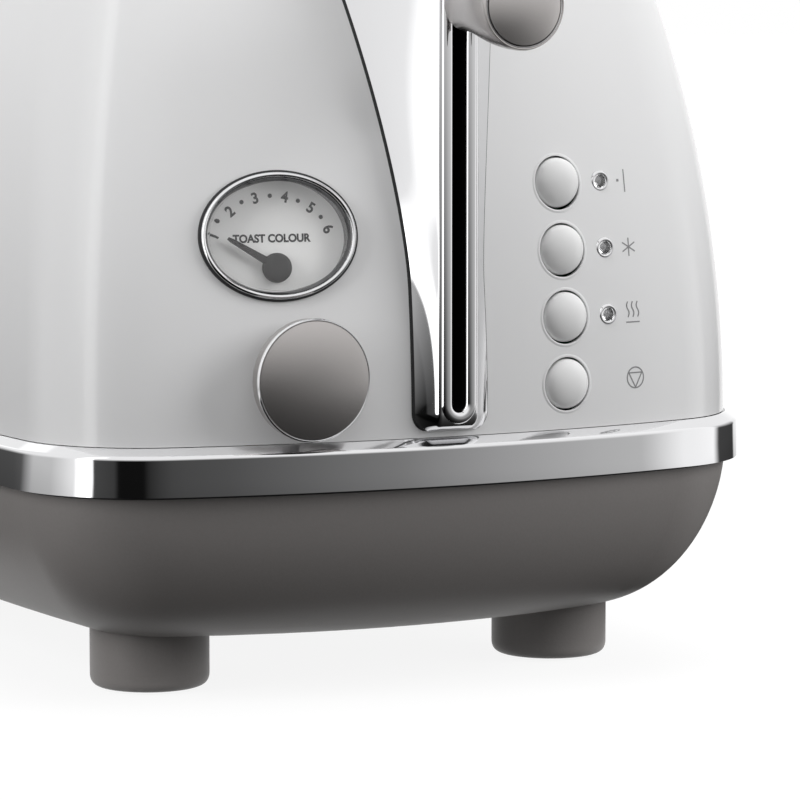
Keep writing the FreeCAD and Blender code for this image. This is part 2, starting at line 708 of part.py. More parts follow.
def tray_outline(height, inset):
    """The base's outline: nearly upright under the band, then curving in to its floor."""
    rim = size("band_bottom") - size("seat_gap")
    drop = rim - height
    depth = rim - size("tray_floor")
    share = min(drop / depth, 1.0)
    curve = size("tray_round") * (1 - math.sqrt(1 - share ** 2))
    step = size("tray_inset") + size("tray_draft") * drop + curve
    corner = max(size("corner_round") - 0.6 * step, 8.0) - inset
    return bowed_outline(size("half_width") - step - inset, size("half_length") - step - inset, corner, height)


def tray_heights(low):
    """Heights from the rim down, closer together where the base curves under."""
    rim = size("band_bottom") - size("seat_gap")
    return [rim - (rim - low) * math.sin(math.pi / 2 * n / 10) for n in range(11)]


def tray_block(inset):
    """The base as a closed block, moved out or in by an inset."""
    return loft([tray_outline(height, inset) for height in tray_heights(size("tray_floor"))])


def make_base():
    """The base: a bowl with runners for the crumb tray and openings for it, the cord and the foot screws."""
    wall = size("tray_wall")
    floor = size("tray_inside")
    outer = tray_block(0)
    hollow = [tray_outline(height, wall) for height in tray_heights(floor)]
    above = tray_outline(size("band_bottom") - size("seat_gap"), wall)
    lip = Part.Face(above).extrude(Vector(0, 0, 5))
    tray = outer.cut(loft(hollow)).cut(lip)
    front = -size("plate_y") + size("rail_lead")
    length = size("half_length") - size("crumb_tail") - size("rail_short") - front
    rail = size("rail_width")
    for side in (-1, 1):
        across = side * (size("crumb_half") - rail) - rail / 2
        tray = tray.fuse(Part.makeBox(rail, length, size("rail_height"), Vector(across, front, floor)))
    play = size("crumb_play")
    mouth = Part.makeBox(2 * (size("crumb_half") + play), 60, size("crumb_height") + 2 * play,
                         Vector(-size("crumb_half") - play, size("half_length") - 50, size("crumb_z") - play / 2))
    tray = tray.cut(mouth)
    tray = tray.cut(bar(size("gland_radius") + size("seat_gap"), size("gland_x"), size("gland_z"),
                        size("half_length") - 60, size("half_length") + 5))
    for across, back in foot_places():
        x, y = across * size("foot_x"), back * size("foot_y")
        tray = tray.cut(Part.makeCylinder(size("screw_radius") + 0.1, 20, Vector(x, y, size("tray_floor") - 5)))
    subpart("base_tray", solid_of("Base", tray.removeSplitter()))


# ---------------------------------------------------------------- the fin

def fin_half_root(height):
    """Half the width of the fin where it meets the shell."""
    up = max(height - size("fin_flare_start"), 0.0) / (size("lever_z") - size("fin_flare_start"))
    high = max(height - size("lever_z"), 0.0) / (size("cover_edge") - size("lever_z"))
    return size("fin_root") + size("fin_flare") * up ** size("fin_flare_curve") + size("fin_flare_top") * high ** 2


def fin_front_y(height):
    rise = max(height - size("fin_bend"), 0.0)
    return -size("fin_front") + turned_in(size("fin_nose"), min(rise, size("fin_nose") * 0.995))


def face_y(across, height):
    """The front face of the painted shell at a place on it."""
    rise = height - size("band_top")
    shoulder = turned_in(size("shoulder_round"), shoulder_rise(height))
    half_x = size("half_width") - size("band_inset") - turned_in(size("side_curve"), rise) - shoulder
    half_y = size("half_length") - size("band_inset") - turned_in(size("end_curve"), rise) - shoulder
    radius = (half_x ** 2 + size("end_bow") ** 2) / (2 * size("end_bow"))
    return turned_in(radius, across) - half_y


def fin_outline(height, wall):
    """The fin's section at a height, moved in by a wall: flat front, hollow flanks and a back in the shell."""
    root = fin_half_root(height)
    face = size("fin_face") * (1 + (root / size("fin_root") - 1) * size("fin_face_share"))
    back = face_y(root, height)
    front = fin_front_y(height) + wall
    deep = back + size("fin_bed")
    middle_x = (root + face) / 2 - size("fin_dish") * (root - face) - size("fin_dish_least") - wall
    middle_y = (front + back) / 2 + size("fin_dish_back") * (back - front)
    root -= wall
    face -= wall * 0.6
    corners = [Vector(-root, deep, height), Vector(-root, back, height), Vector(-face, front, height),
               Vector(face, front, height), Vector(root, back, height), Vector(root, deep, height)]
    left = Part.Arc(corners[1], Vector(-middle_x, middle_y, height), corners[2]).toShape()
    right = Part.Arc(corners[3], Vector(middle_x, middle_y, height), corners[4]).toShape()
    lines = [Part.makeLine(corners[0], corners[1]), left, Part.makeLine(corners[2], corners[3]), right,
             Part.makeLine(corners[4], corners[5]), Part.makeLine(corners[5], corners[0])]
    return Part.Wire(lines)


def make_fin():
    """The bright fin down the front: a hollow shell, closed in front but for the lever's slot."""
    foot, bend, head = size("fin_foot"), size("fin_bend"), size("shoulder_start") + size("shoulder_round")
    heights = [foot + (bend - foot) * n / 8 for n in range(9)]
    heights += [bend + (head - 0.2 - bend) * math.sin(math.pi / 2 * n / 6) for n in range(1, 7)]
    fin = loft([fin_outline(height, 0) for height in heights])
    fin = fin.cut(shell_solid(-size("seat_gap")))
    lid = Part.Face(shell_outline(size("cover_edge"), -size("seat_gap"))).extrude(Vector(0, 0, 10))
    fin = fin.cut(lid)
    wall = size("fin_wall")
    low, high = size("slot_foot"), size("slot_head")
    rise = [low + (high - low) * n / 6 for n in range(7)]
    hollow = loft([fin_outline(height, wall) for height in rise])
    half = size("slot_gap") / 2
    slot = Part.makeBox(2 * half, 20, high - low, Vector(-half, -size("fin_front") - 5, low))
    subpart("fin_housing", solid_of("Fin", fin.cut(hollow).cut(slot)))


def round_ended(name, width, low, high, front, depth):
    """An upright strip with round ends, centred across."""
    half = f"({width} / 2)"
    return fuse(name, slab(name + "_bar", half, front, depth, f"{low} + {half}", f"{high} - {half}"),
                rod(name + "_foot", half, depth, ("0", front, f"{low} + {half}")),
                rod(name + "_head", half, depth, ("0", front, f"{high} - {half}")))


def make_slot_bezel():
    front = "-fin_front - bezel_proud"
    depth = "(bezel_proud - seat_gap)"
    plate = round_ended("BezelPlate", "bezel_width", "bezel_foot", "bezel_head", front, depth)
    gap = round_ended("BezelGap", "slot_gap", "slot_foot", "slot_head", front + " - 1", f"{depth} + 2")
    subpart("slot_bezel", cut("SlotBezel", plate, gap))


# ---------------------------------------------------------------- feet, gland and crumb tray

def foot_places():
    """The four corners as (left or right, front or rear)."""
    return [(across, back) for back in (-1, 1) for across in (-1, 1)]


def corner_name(across, back):
    return ("front" if back < 0 else "rear") + ("_left" if across < 0 else "_right")


def make_feet():
    """Four round feet with a pad and a screw each."""
    pads, screws = [], []
    for across, back in foot_places():
        name = corner_name(across, back)
        x, y = f"{across} * foot_x", f"{back} * foot_y"
        low = "pad_proud"
        recess = "pad_height + 0.1"
        well = "pad_height + 4"
        corners = [(recess, "pad_radius + 0.1"), (low, "pad_radius + 0.1"), (low, "foot_radius"),
                   ("tray_floor - 0.05", "foot_radius"), ("tray_floor - 0.05", "screw_radius + 0.1"),
                   (well, "screw_radius + 0.1"), (well, "screw_head + 0.3"), (recess, "screw_head + 0.3")]
        foot = turned("Foot_" + name, corners, (x, y, "0"), along="Z")
        foot = round_rim(foot, "foot_round", "ZMin", 1.9 * size("foot_radius"))
        subpart("foot_" + name, foot)
        pads.append(rod("Pad_" + name, "pad_radius", "pad_height", (x, y, "0"), "Z"))
        head = rod("ScrewHead_" + name, "screw_head", "screw_head_height", (x, y, f"{well} - screw_head_height"), "Z")
        shank = rod("ScrewShank_" + name, "screw_radius", f"tray_floor - ({well}) + screw_length", (x, y, well), "Z")
        screws.append(fuse("Screw_" + name, head, shank))
    subpart("foot_pads", group("FootPads", *pads))
    subpart("foot_screws", group("FootScrews", *screws))


def make_cord_gland():
    """The bush in the rear of the base that a mains cord leaves through."""
    wall = size("gland_wall")
    rear = wall + size("gland_flange_thick") + 1.5
    x, z = size("gland_x"), size("gland_z")
    flange = bar(size("gland_flange"), x, z, wall - 5, rear).cut(tray_block(-size("seat_gap")))
    barrel = bar(size("gland_radius"), x, z, wall - size("gland_length"), rear)
    bore = bar(size("gland_bore"), x, z, wall - size("gland_length") - 1, rear + 1)
    subpart("cord_gland", solid_of("Gland", barrel.fuse(flange).cut(bore).removeSplitter()))


def make_crumb_tray():
    """A shallow sheet tray that draws out of the rear, with a handle across its end."""
    front = "(-plate_y + crumb_lead)"
    length = f"(half_length - crumb_tail - {front})"
    outside = slab("CrumbOutside", "crumb_half", front, length, "crumb_z", "crumb_z + crumb_height")
    inside = slab("CrumbInside", "crumb_half - crumb_wall", f"{front} + crumb_wall",
                  f"{length} - 2 * crumb_wall", "crumb_z + crumb_wall", "crumb_z + crumb_height + 1")
    subpart("crumb_tray", cut("CrumbTray", outside, inside))
    rear = "half_length - crumb_tail"
    low = "crumb_z + (crumb_height - handle_height) / 2"
    handle = slab("CrumbHandle", "handle_half", rear, "handle_depth", low, f"{low} + handle_height")
    subpart("crumb_handle", handle)


# ---------------------------------------------------------------- the toasting chamber

def mirrored(side):
    return "_left" if side < 0 else "_right"


def make_front_plate():
    """The front end plate: it carries the guide rods in two ears and lets the rack arms through."""
    thick = "plate_thick"
    front = "-plate_y"
    plate = slab("FrontSheet", "reflector_x", front, thick, "tray_inside", "plate_top")
    ears = [slab("EarLow", "ear_half", f"{front} - ear_reach", "ear_reach", "ear_low", "ear_low + ear_thick"),
            slab("EarHigh", "ear_half", f"{front} - ear_reach", "ear_reach", "ear_high", "ear_high + ear_thick")]
    tools = []
    for side in (-1, 1):
        name = mirrored(side)
        tools.append(slab("ArmSlot" + name, "arm_thick / 2 + 1", f"{front} - 1", f"{thick} + 2",
                          "rack_z - arm_height - travel_down - 1", "rack_z + travel_up + 1", f"{side} * bread_x"))
        tools.append(rod("RodSeat" + name, "rod_radius + 0.05", "plate_top", (f"{side} * rod_x", "-rod_y", "0"), "Z"))
    tools += guard_slots("Front", f"{front} - 1")
    sheet_metal = fuse("FrontPlateBlank", plate, *ears)
    subpart("front_end_plate", cut("FrontPlate", sheet_metal, *tools))


def guard_slots(name, front):
    """Slots in an end plate that the guards' cross wires slide in."""
    slots = []
    for side in (-1, 1):
        for face in (-1, 1):
            for level in ("guard_foot", "guard_head"):
                middle = f"{side} * bread_x + {face} * (guard_x - guard_travel / 2)"
                slots.append(slab(f"{name}Slot{level}{side}{face}".replace("-", "n"),
                                  "guard_travel / 2 + guard_wire + 1.2", front, "plate_thick + 2",
                                  f"{level} - guard_wire - {PLAY}", f"{level} + guard_wire + {PLAY}", middle))
    return slots


def make_rear_plate():
    """The rear end plate, open at its foot for the crumb tray."""
    plate = slab("RearSheet", "reflector_x", "plate_y - plate_thick", "plate_thick", "tray_inside", "plate_top")
    mouth = slab("RearMouth", "crumb_half + crumb_play", "plate_y - plate_thick - 1", "plate_thick + 2",
                 "tray_inside - 1", "crumb_z + crumb_height + crumb_play")
    subpart("rear_end_plate", cut("RearPlate", plate, mouth, *guard_slots("Rear", "plate_y - plate_thick - 1")))


def make_chamber():
    """Reflectors, heater cards and the ribbons wound on them."""
    inside = "(plate_y - plate_thick - 0.05)"
    for side in (-1, 1):
        name = mirrored(side)
        wall = slab("Reflector" + name, "reflector_thick / 2", f"-{inside}", f"2 * {inside}", "chamber_floor",
                    "chamber_roof", f"{side} * (reflector_x - reflector_thick / 2)")
        subpart("reflector" + name, wall)
    ribbons = []
    for name, middle, faces in (("_left", "-card_x", (1,)), ("_centre", "0", (-1, 1)), ("_right", "card_x", (-1,))):
        card = slab("Card" + name, "card_thick / 2", f"-{inside}", f"2 * {inside}", "chamber_floor + 2",
                    "chamber_roof - 4", middle)
        subpart("heater_card" + name, card)
        for face in faces:
            for n in range(RIBBONS):
                low = f"ribbon_first + {n} * ribbon_pitch"
                across = f"{middle} + {face} * (card_thick + ribbon_thick + 0.02) / 2"
                ribbons.append(slab(f"Ribbon{name}{n}{'a' if face < 0 else 'b'}", "ribbon_thick / 2",
                                    f"-{inside} + 6", f"2 * {inside} - 12", low, f"{low} + ribbon_height", across))
    subpart("heating_ribbons", group("Ribbons", *ribbons))


def make_guards():
    """Four wire guards, two to a slot, that close on the bread as the carriage goes down."""
    reach = "(plate_y + 1.5)"
    span = "(bread_length + 2 * slot_end_margin - 8)"
    for side in (-1, 1):
        for face, where in ((-side, "_inner"), (side, "_outer")):
            name = mirrored(side) + where
            across = f"{side} * bread_x + {face} * guard_x"
            wires = []
            for level in ("guard_foot", "guard_head"):
                wires.append(rod(f"Cross{name}{level}", "guard_wire", f"2 * {reach}", (across, f"-{reach}", level)))
            for n in range(GUARD_WIRES):
                along = f"-{span} / 2 + {n} * {span} / {GUARD_WIRES - 1}"
                wires.append(rod(f"Wire{name}{n}", "guard_wire * 0.9", "guard_head - guard_foot",
                                 (across, along, "guard_foot"), "Z"))
            subpart("bread_guard" + name, fuse("Guard" + name, *wires))


def make_carriage():
    """The carriage on its two guide rods, with the racks, armature, rods, spring and magnet."""
    front = "-carriage_y"
    plate = slab("CarriagePlate", "carriage_half", front, "carriage_thick", "carriage_foot", "carriage_head")
    bosses, bores, rods = [], [], []
    for side in (-1, 1):
        name = mirrored(side)
        x = f"{side} * rod_x"
        bosses.append(slab("Boss" + name, "boss_half", f"{front} + carriage_thick", "2 * boss_half",
                           "carriage_foot", "carriage_head", x))
        bores.append(rod("RodBore" + name, "rod_radius + slide_fit", "plate_top", (x, "-rod_y", "0"), "Z"))
        rods.append(rod("GuideRod" + name, "rod_radius", "ear_high + ear_thick + 1.5 - ear_low + 1",
                        (x, "-rod_y", "ear_low - 1"), "Z"))
    subpart("carriage", cut("Carriage", fuse("CarriageBlank", plate, *bosses), *bores))
    subpart("guide_rods", group("GuideRods", *rods))
    for side in (-1, 1):
        make_rack(side)
    keeper = slab("Armature", "magnet_half", f"{front} + carriage_thick", "2 * magnet_half",
                  "carriage_foot", "carriage_foot + armature_thick")
    subpart("armature", keeper)
    core_top = "carriage_foot - travel_down - magnet_gap"
    core = slab("MagnetCore", "magnet_half", f"{front} + carriage_thick", "2 * magnet_half",
                "ear_low + ear_thick", core_top)
    subpart("electromagnet", core)


def make_rack(side):
    """A bread rack: an arm through the end plate and a narrow sheet floor with turned-up ends."""
    name = mirrored(side)
    across = f"{side} * bread_x"
    start = "(-carriage_y + carriage_thick)"
    inside = "(plate_y - 6)"
    arm = slab("RackArm" + name, "arm_thick / 2", start, f"-{inside} - {start} + 2",
               "rack_z - arm_height", "rack_z", across)
    floor = slab("RackFloor" + name, "rack_width / 2", f"-{inside}", f"2 * {inside}", "rack_z - rack_thick",
                 "rack_z", across)
    lips = [slab(f"RackLip{n}{name}", "rack_width / 2", y, "rack_thick", "rack_z - rack_thick",
                 "rack_z + rack_lip", across)
            for n, y in enumerate((f"-{inside}", f"{inside} - rack_thick"))]
    subpart("bread_rack" + name, fuse("Rack" + name, arm, floor, *lips))


def make_lift_spring():
    """The spring round the right guide rod, between the lower ear and the carriage."""
    low = "ear_low + ear_thick + spring_wire + 0.1"
    high = "carriage_foot - spring_wire - 0.1"
    coil = doc.addObject("Part::Helix", "SpringCoil")
    coil.setExpression("Height", formula(f"{high} - ({low})"))
    coil.setExpression("Pitch", formula(f"({high} - ({low})) / spring_turns"))
    coil.setExpression("Radius", formula("spring_radius"))
    wire = doc.addObject("Part::Circle", "SpringWire")
    wire.setExpression("Radius", formula("spring_wire"))
    wire.Placement = Placement(Vector(), ALONG["Y"])
    wire.setExpression("Placement.Base.x", formula("spring_radius"))
    sweep = doc.addObject("Part::Sweep", "Spring")
    sweep.Sections = [wire]
    sweep.Spine = (coil, [])
    sweep.Solid = True
    sweep.Frenet = True
    spots[sweep.Name] = ("rod_x", "-rod_y", low)
    subpart("lift_spring", sweep)


# ---------------------------------------------------------------- the lever

def make_lever():
    """The lever: a waisted knob with a bright ring and a domed cap, on a flat steel arm."""
    front = "-lever_front + 1.8"
    mid = "-lever_front + 4"
    back = "-lever_rear"
    seat = "-lever_front + cap_height + 0.1"
    corners = [(seat, "0"), (seat, "ring_radius + 0.1"), (front, "ring_radius + 0.1"),
               (front, "lever_radius - 0.4"), (mid, "lever_radius"), ("-lever_front + 9", "lever_radius - 0.5"),
               ("-lever_front + 16", "lever_waist + 1.4"), ("-lever_front + 23", "lever_waist"),
               (back, "lever_waist - 0.4"), (back, "0")]
    handle = turned("LeverHandle", corners, ("0", "0", "lever_z"))
    arm_low = "(lever_z - arm_height / 2)"
    arm_high = "(lever_z + arm_height / 2)"
    socket = slab("LeverSocket", "arm_thick / 2 + 0.05", f"{back} - arm_grip - 0.05", "arm_grip + 1",
                  f"{arm_low} - 0.05", f"{arm_high} + 0.05")
    subpart("lever_knob", cut("LeverKnob", handle, socket))
    cap = turned("LeverCap", [("-lever_front", "0"), ("-lever_front", "cap_radius"),
                              ("-lever_front + cap_height", "cap_radius"), ("-lever_front + cap_height", "0")],
                 ("0", "0", "lever_z"))
    subpart("lever_cap", round_rim(cap, "1.4", "YMin"))
    ring = tube_corners("-lever_front + cap_height - ring_height", "-lever_front + cap_height",
                        "ring_radius", "cap_radius + 0.05")
    subpart("lever_ring", turned("LeverRing", ring, ("0", "0", "lever_z")))
    subpart("lever_arm", slab("LeverArm", "arm_thick / 2", f"{back} - arm_grip",
                              f"arm_grip + lever_rear - carriage_y", arm_low, arm_high))


# ---------------------------------------------------------------- the gauge

def in_gauge(label, name, shape):
    """A piece of the gauge: its shape in the gauge's frame, then its placement."""
    item = solid_of(name, shape)
    item.Placement = gauge_placement()
    item.Label = label
    item.Placement.Base.y += size("row_shift")
    subparts.append(item)


def gauge_bar(radius, front, back):
    """A round bar on the needle's axis."""
    return Part.makeCylinder(radius, back - front, Vector(0, front, -size("needle_drop")), Vector(0, 1, 0))


def make_gauge():
    """The oval bezel, the dial, the needle with its spindle, and the clear lens."""
    half_x, half_z = size("gauge_half_x"), size("gauge_half_z")
    barrel = size("gauge_flange")
    rim = size("gauge_rim")
    bezel = oval_block(half_x, half_z, -size("gauge_proud"), -size("seat_gap"))
    bezel = bezel.fuse(oval_block(half_x - barrel, half_z - barrel, -0.5, size("gauge_barrel")))
    bezel = bezel.cut(oval_block(half_x - rim, half_z - rim, -5, size("gauge_barrel") + 1))
    in_gauge("gauge_bezel", "GaugeBezel", bezel.removeSplitter())
    fit = rim + size("seat_gap")
    dial = oval_block(half_x - fit, half_z - fit, size("dial_depth"), size("dial_depth") + size("dial_thick"))
    dial = dial.cut(gauge_bar(size("spindle_radius") + 0.08, 0, 10))
    in_gauge("gauge_dial", "GaugeDial", dial)
    lens = oval_block(half_x - fit, half_z - fit, -size("lens_lift"), size("lens_thick") - size("lens_lift"))
    in_gauge("gauge_lens", "GaugeLens", lens)
    front = size("dial_depth") - 2.2
    needle = gauge_bar(size("needle_hub"), front, size("dial_depth") - 0.3)
    needle = needle.fuse(gauge_bar(size("spindle_radius"), front, size("spindle_reach")))
    ball = Part.makeSphere(size("ball_radius"), Vector(0, size("spindle_reach"), -size("needle_drop")))
    half = size("needle_width") / 2
    pointer = Part.makeBox(size("needle_length"), 0.5, 2 * half, Vector(0, front + 0.6, -half))
    turn = Rotation(Vector(0, 1, 0), -size("needle_angle"))
    pointer.Placement = Placement(Vector(0, 0, -size("needle_drop")), turn)
    in_gauge("gauge_needle", "GaugeNeedle", needle.fuse([ball, pointer]).removeSplitter())


# ---------------------------------------------------------------- knob, gears and brackets

def pointer_centre():
    """Where the ball end of the needle's spindle lies, which is on the pointer gear's axis."""
    return gauge_placement().multVec(Vector(0, size("spindle_reach"), -size("needle_drop")))


def pitch_radius(teeth):
    return size("gear_module") * size(teeth) / 2


def idler_centre():
    """The idler's axis: in mesh with both the knob's gear and the pointer's."""
    start = (size("knob_x"), size("knob_z"))
    ball = pointer_centre()
    span = math.hypot(ball.x - start[0], ball.z - start[1])
    reach_a = pitch_radius("knob_teeth") + pitch_radius("idler_teeth")
    reach_b = pitch_radius("pointer_teeth") + pitch_radius("idler_teeth")
    along = (span ** 2 + reach_a ** 2 - reach_b ** 2) / (2 * span)
    across = math.sqrt(max(reach_a ** 2 - along ** 2, 0))
    unit = ((ball.x - start[0]) / span, (ball.z - start[1]) / span)
    return start[0] + unit[0] * along - unit[1] * across, start[1] + unit[1] * along + unit[0] * across


def toothed_wheel(name, teeth):
    """A gear blank in its own frame about Y: a root disc with a ring of teeth."""
    body = doc.addObject("PartDesign::Body", name)
    root = f"(gear_module * {teeth} / 2 - 1.0 * gear_module)"
    disc = body.newObject("PartDesign::Pad", name + "_disc")
    disc.Profile = circle_sketch(body, "XZ_Plane", root, name + "_root")
    disc.setExpression("Length", formula("gear_thick"))
    disc.Reversed = True
    tip = f"(gear_module * {teeth} / 2 + 0.75 * gear_module)"
    foot, crest = "(0.62 * gear_module)", "(0.22 * gear_module)"
    corners = [(f"-{foot}", f"{root} - 0.4"), (foot, f"{root} - 0.4"), (crest, tip), (f"-{crest}", tip)]
    tooth = body.newObject("PartDesign::Pad", name + "_tooth")
    tooth.Profile = outline_sketch(body, "XZ_Plane", corners, name + "_tooth_outline")
    tooth.setExpression("Length", formula("gear_thick"))
    tooth.Reversed = True
    doc.recompute()
    ring = body.newObject("PartDesign::PolarPattern", name + "_ring")
    ring.Originals = [tooth]
    ring.Axis = (origin_plane(body, "Y_Axis"), [""])
    ring.Angle = 360
    ring.setExpression("Occurrences", formula(teeth))
    body.Tip = ring
    return body


def turned_gear(blank, angle):
    """Turn a gear about its own axis, so that its teeth mesh at rest."""
    blank.Placement = Placement(Vector(), Rotation(Vector(0, 1, 0), angle))
    return blank


def mesh_angles():
    """Angles that put a tooth of one gear in a space of the next, along each line of centres."""
    knob = (size("knob_x"), size("knob_z"))
    idler = idler_centre()
    ball = pointer_centre()
    to_idler = math.degrees(math.atan2(idler[0] - knob[0], idler[1] - knob[1]))
    to_ball = math.degrees(math.atan2(ball.x - idler[0], ball.z - idler[1]))
    idler_step = 360 / size("idler_teeth")
    pointer_step = 360 / size("pointer_teeth")
    idler_angle = to_idler + 180 + idler_step / 2
    past = (to_ball - idler_angle) % idler_step / idler_step
    pointer_angle = to_ball + 180 + (0.5 + past) * pointer_step
    return to_idler, idler_angle, pointer_angle


def gear_front():
    """The front of the three gears."""
    return -size("control_y") - size("gear_lift") - size("gear_thick")


def placed(label, name, shape, x, y, z):
    """A piece whose shape is drawn about its own axis and then put on it."""
    item = solid_of(name, shape)
    item.Placement = Placement(Vector(x, y + size("row_shift"), z), Rotation())
    item.Label = label
    subparts.append(item)


def make_gears():
    """Three small gears: knob, idler and pointer, so that the needle follows the knob."""
    doc.recompute()
    knob_angle, idler_angle, pointer_angle = mesh_angles()
    front, thick = gear_front(), size("gear_thick")
    idler = idler_centre()
    ball = pointer_centre()
    hole = size("pin_radius") + size("pin_fit")
    axis = Vector(0, 1, 0)
    wheels = []
    for name, teeth, angle in (("KnobWheel", "knob_teeth", knob_angle), ("IdlerWheel", "idler_teeth", idler_angle),
                               ("PointerWheel", "pointer_teeth", pointer_angle)):
        wheel = turned_gear(toothed_wheel(name, teeth), angle)
        doc.recompute()
        wheels.append(wheel.Shape.copy())
    knob_gear = wheels[0].cut(Part.makeCylinder(size("shaft_radius") + 0.05, 20, Vector(0, -5, 0), axis))
    placed("knob_gear", "KnobGear", knob_gear, size("knob_x"), front, size("knob_z"))
    idler_gear = wheels[1].cut(Part.makeCylinder(hole, 20, Vector(0, -5, 0), axis))
    placed("idler_gear", "IdlerGear", idler_gear, idler[0], front, idler[1])
    cup = ball.y - 1.6 - front
    hub = Part.makeCylinder(size("ball_radius") + 2, thick - cup, Vector(0, cup, 0), axis)
    socket = Part.makeCylinder(size("ball_radius") + 0.1, 3.2, Vector(0, cup, 0), axis)
    bore = Part.makeCylinder(hole, 20, Vector(0, cup + 3.7, 0), axis)
    pointer_gear = wheels[2].fuse(hub).cut([socket, bore]).removeSplitter()
    placed("pointer_gear", "PointerGear", pointer_gear, ball.x, front, ball.z)


def legs(name, side, back):
    """Four legs that carry a control bracket on the front end plate."""
    posts = []
    for level, z in (("low", "bracket_low + leg_inset"), ("high", "bracket_high - leg_inset")):
        for where, x in (("inner", "leg_inner"), ("outer", "leg_outer")):
            posts.append(rod(f"{name}_{level}_{where}", "leg_radius", f"-({back}) - plate_y - 0.02",
                             (f"{side} * {x}", back, z)))
    return posts


def make_gear_bracket():
    """The left bracket: bearing for the knob's shaft and pins for the gears."""
    front = "-control_y"
    middle = "-(bracket_inner + bracket_outer) / 2"
    half = "(bracket_outer - bracket_inner) / 2"
    plate = slab("GearPlate", half, front, "bracket_thick", "bracket_low", "bracket_high", middle)
    posts = legs("GearLeg", -1, f"{front} + bracket_thick")
    idler = idler_centre()
    ball = pointer_centre()
    reach = "(gear_lift + gear_thick)"
    pins = [rod("IdlerPin", "pin_radius", f"{reach} + bracket_thick", (f"{idler[0]:.4f}", f"{front} - {reach}",
                                                                     f"{idler[1]:.4f}")),
            rod("PointerPin", "pin_radius", "gear_lift + pin_bite + bracket_thick",
                (f"{ball.x:.4f}", f"{front} - gear_lift - pin_bite", f"{ball.z:.4f}")),
            rod("IdlerShoulder", "pin_radius + 1", "gear_lift - 0.1", (f"{idler[0]:.4f}", f"{front} - gear_lift + 0.1",
                                                                     f"{idler[1]:.4f}")),
            rod("PointerShoulder", "pin_radius + 1", "gear_lift - 0.1", (f"{ball.x:.4f}",
                                                                       f"{front} - gear_lift + 0.1", f"{ball.z:.4f}"))]
    bearing = rod("ShaftBearing", "shaft_radius + 0.08", "bracket_thick + 2", ("knob_x", f"{front} - 1", "knob_z"))
    subpart("gear_bracket", cut("GearBracket", fuse("GearBracketBlank", plate, *posts, *pins), bearing))
    pot = rod("PotBody", "pot_radius", "pot_depth", ("knob_x", f"{front} + bracket_thick + 0.05", "knob_z"))
    pot_bore = rod("PotBore", "shaft_radius + 0.08", "bracket_thick + pot_depth - 2", ("knob_x", front, "knob_z"))
    subpart("potentiometer", cut("Potentiometer", pot, pot_bore))


def make_knob():
    """The browning knob with a bright ring, and its shaft back to the potentiometer."""
    back = "(knob_face - knob_gap)"
    front = f"({back} - knob_depth)"
    face = f"({front} - 1.2)"
    corners = [(face, "0"), (face, "knob_radius * 0.5"), (front, "knob_radius - knob_ring_width - 0.1"),
               (f"{front} + 1", "knob_radius - knob_ring_width - 0.1"), (f"{front} + 1", "knob_radius - 0.1"),
               (back, "knob_radius - 0.1"), (back, "shaft_radius + 0.05"),
               (f"{front} + 1.2", "shaft_radius + 0.05"), (f"{front} + 1.2", "0")]
    subpart("browning_knob", turned("BrowningKnob", corners, ("knob_x", "0", "knob_z")))
    ring = tube_corners(f"{front} - 0.1", f"{front} + 0.95", "knob_radius", "knob_radius - knob_ring_width")
    subpart("knob_ring", turned("KnobRing", ring, ("knob_x", "0", "knob_z")))
    start = f"({front} + 1.25)"
    subpart("knob_shaft", rod("KnobShaft", "shaft_radius", f"-control_y + bracket_thick + pot_depth - 3 - {start}",
                              ("knob_x", start, "knob_z")))


# ---------------------------------------------------------------- buttons, lamps and their board

def make_board():
    """The right bracket and the board on it, with its switches and lights."""
    front = "-control_y"
    middle = "(bracket_inner + bracket_outer) / 2"
    half = "(bracket_outer - bracket_inner) / 2"
    board = slab("Board", half, front, "board_thick", "bracket_low", "bracket_high", middle)
    subpart("control_board", board)
    back = f"{front} + board_thick + 0.05"
    frame = slab("BoardPlate", half, back, "bracket_thick", "bracket_low", "bracket_high", middle)
    posts = legs("BoardLeg", 1, f"{back} + bracket_thick")
    subpart("board_bracket", fuse("BoardBracket", frame, *posts))
    switches, lights = [], []
    for n in range(len(BUTTONS)):
        z = f"button_z - {n} * button_pitch"
        case = slab(f"SwitchCase{n}", "switch_half", f"{front} - switch_height", "switch_height",
                    f"{z} - switch_half", f"{z} + switch_half", "button_x")
        nub = rod(f"SwitchNub{n}", "plunger_radius", "plunger_height",
                  ("button_x", f"{front} - switch_height - plunger_height", z))
        switches.append(fuse(f"Switch{n}", case, nub))
    for n in range(LAMPS):
        lights.append(rod(f"Light{n}", "lamp_lens - 0.25", "led_height",
                          ("lamp_x", f"{front} - led_height", f"lamp_z - {n} * button_pitch")))
    subpart("button_switches", group("Switches", *switches))
    subpart("indicator_lights", group("Lights", *lights))


def make_buttons():
    """Four push buttons; each has a rounded cap in the shell and a stem to its switch."""
    stop = "(-control_y - switch_height - plunger_height - button_travel - 0.3)"
    for n, label in enumerate(BUTTONS):
        face = f"(button_face_{n + 1} - button_proud)"
        corners = [(face, "0"), (face, "button_radius"), (f"{face} + button_cap", "button_radius"),
                   (f"{face} + button_cap", "button_stem"), (stop, "button_stem"), (stop, "0")]
        button = turned(f"Button{n}", corners, ("button_x", "0", f"button_z - {n} * button_pitch"))
        subpart(label, round_rim(button, "button_round", "YMin"))


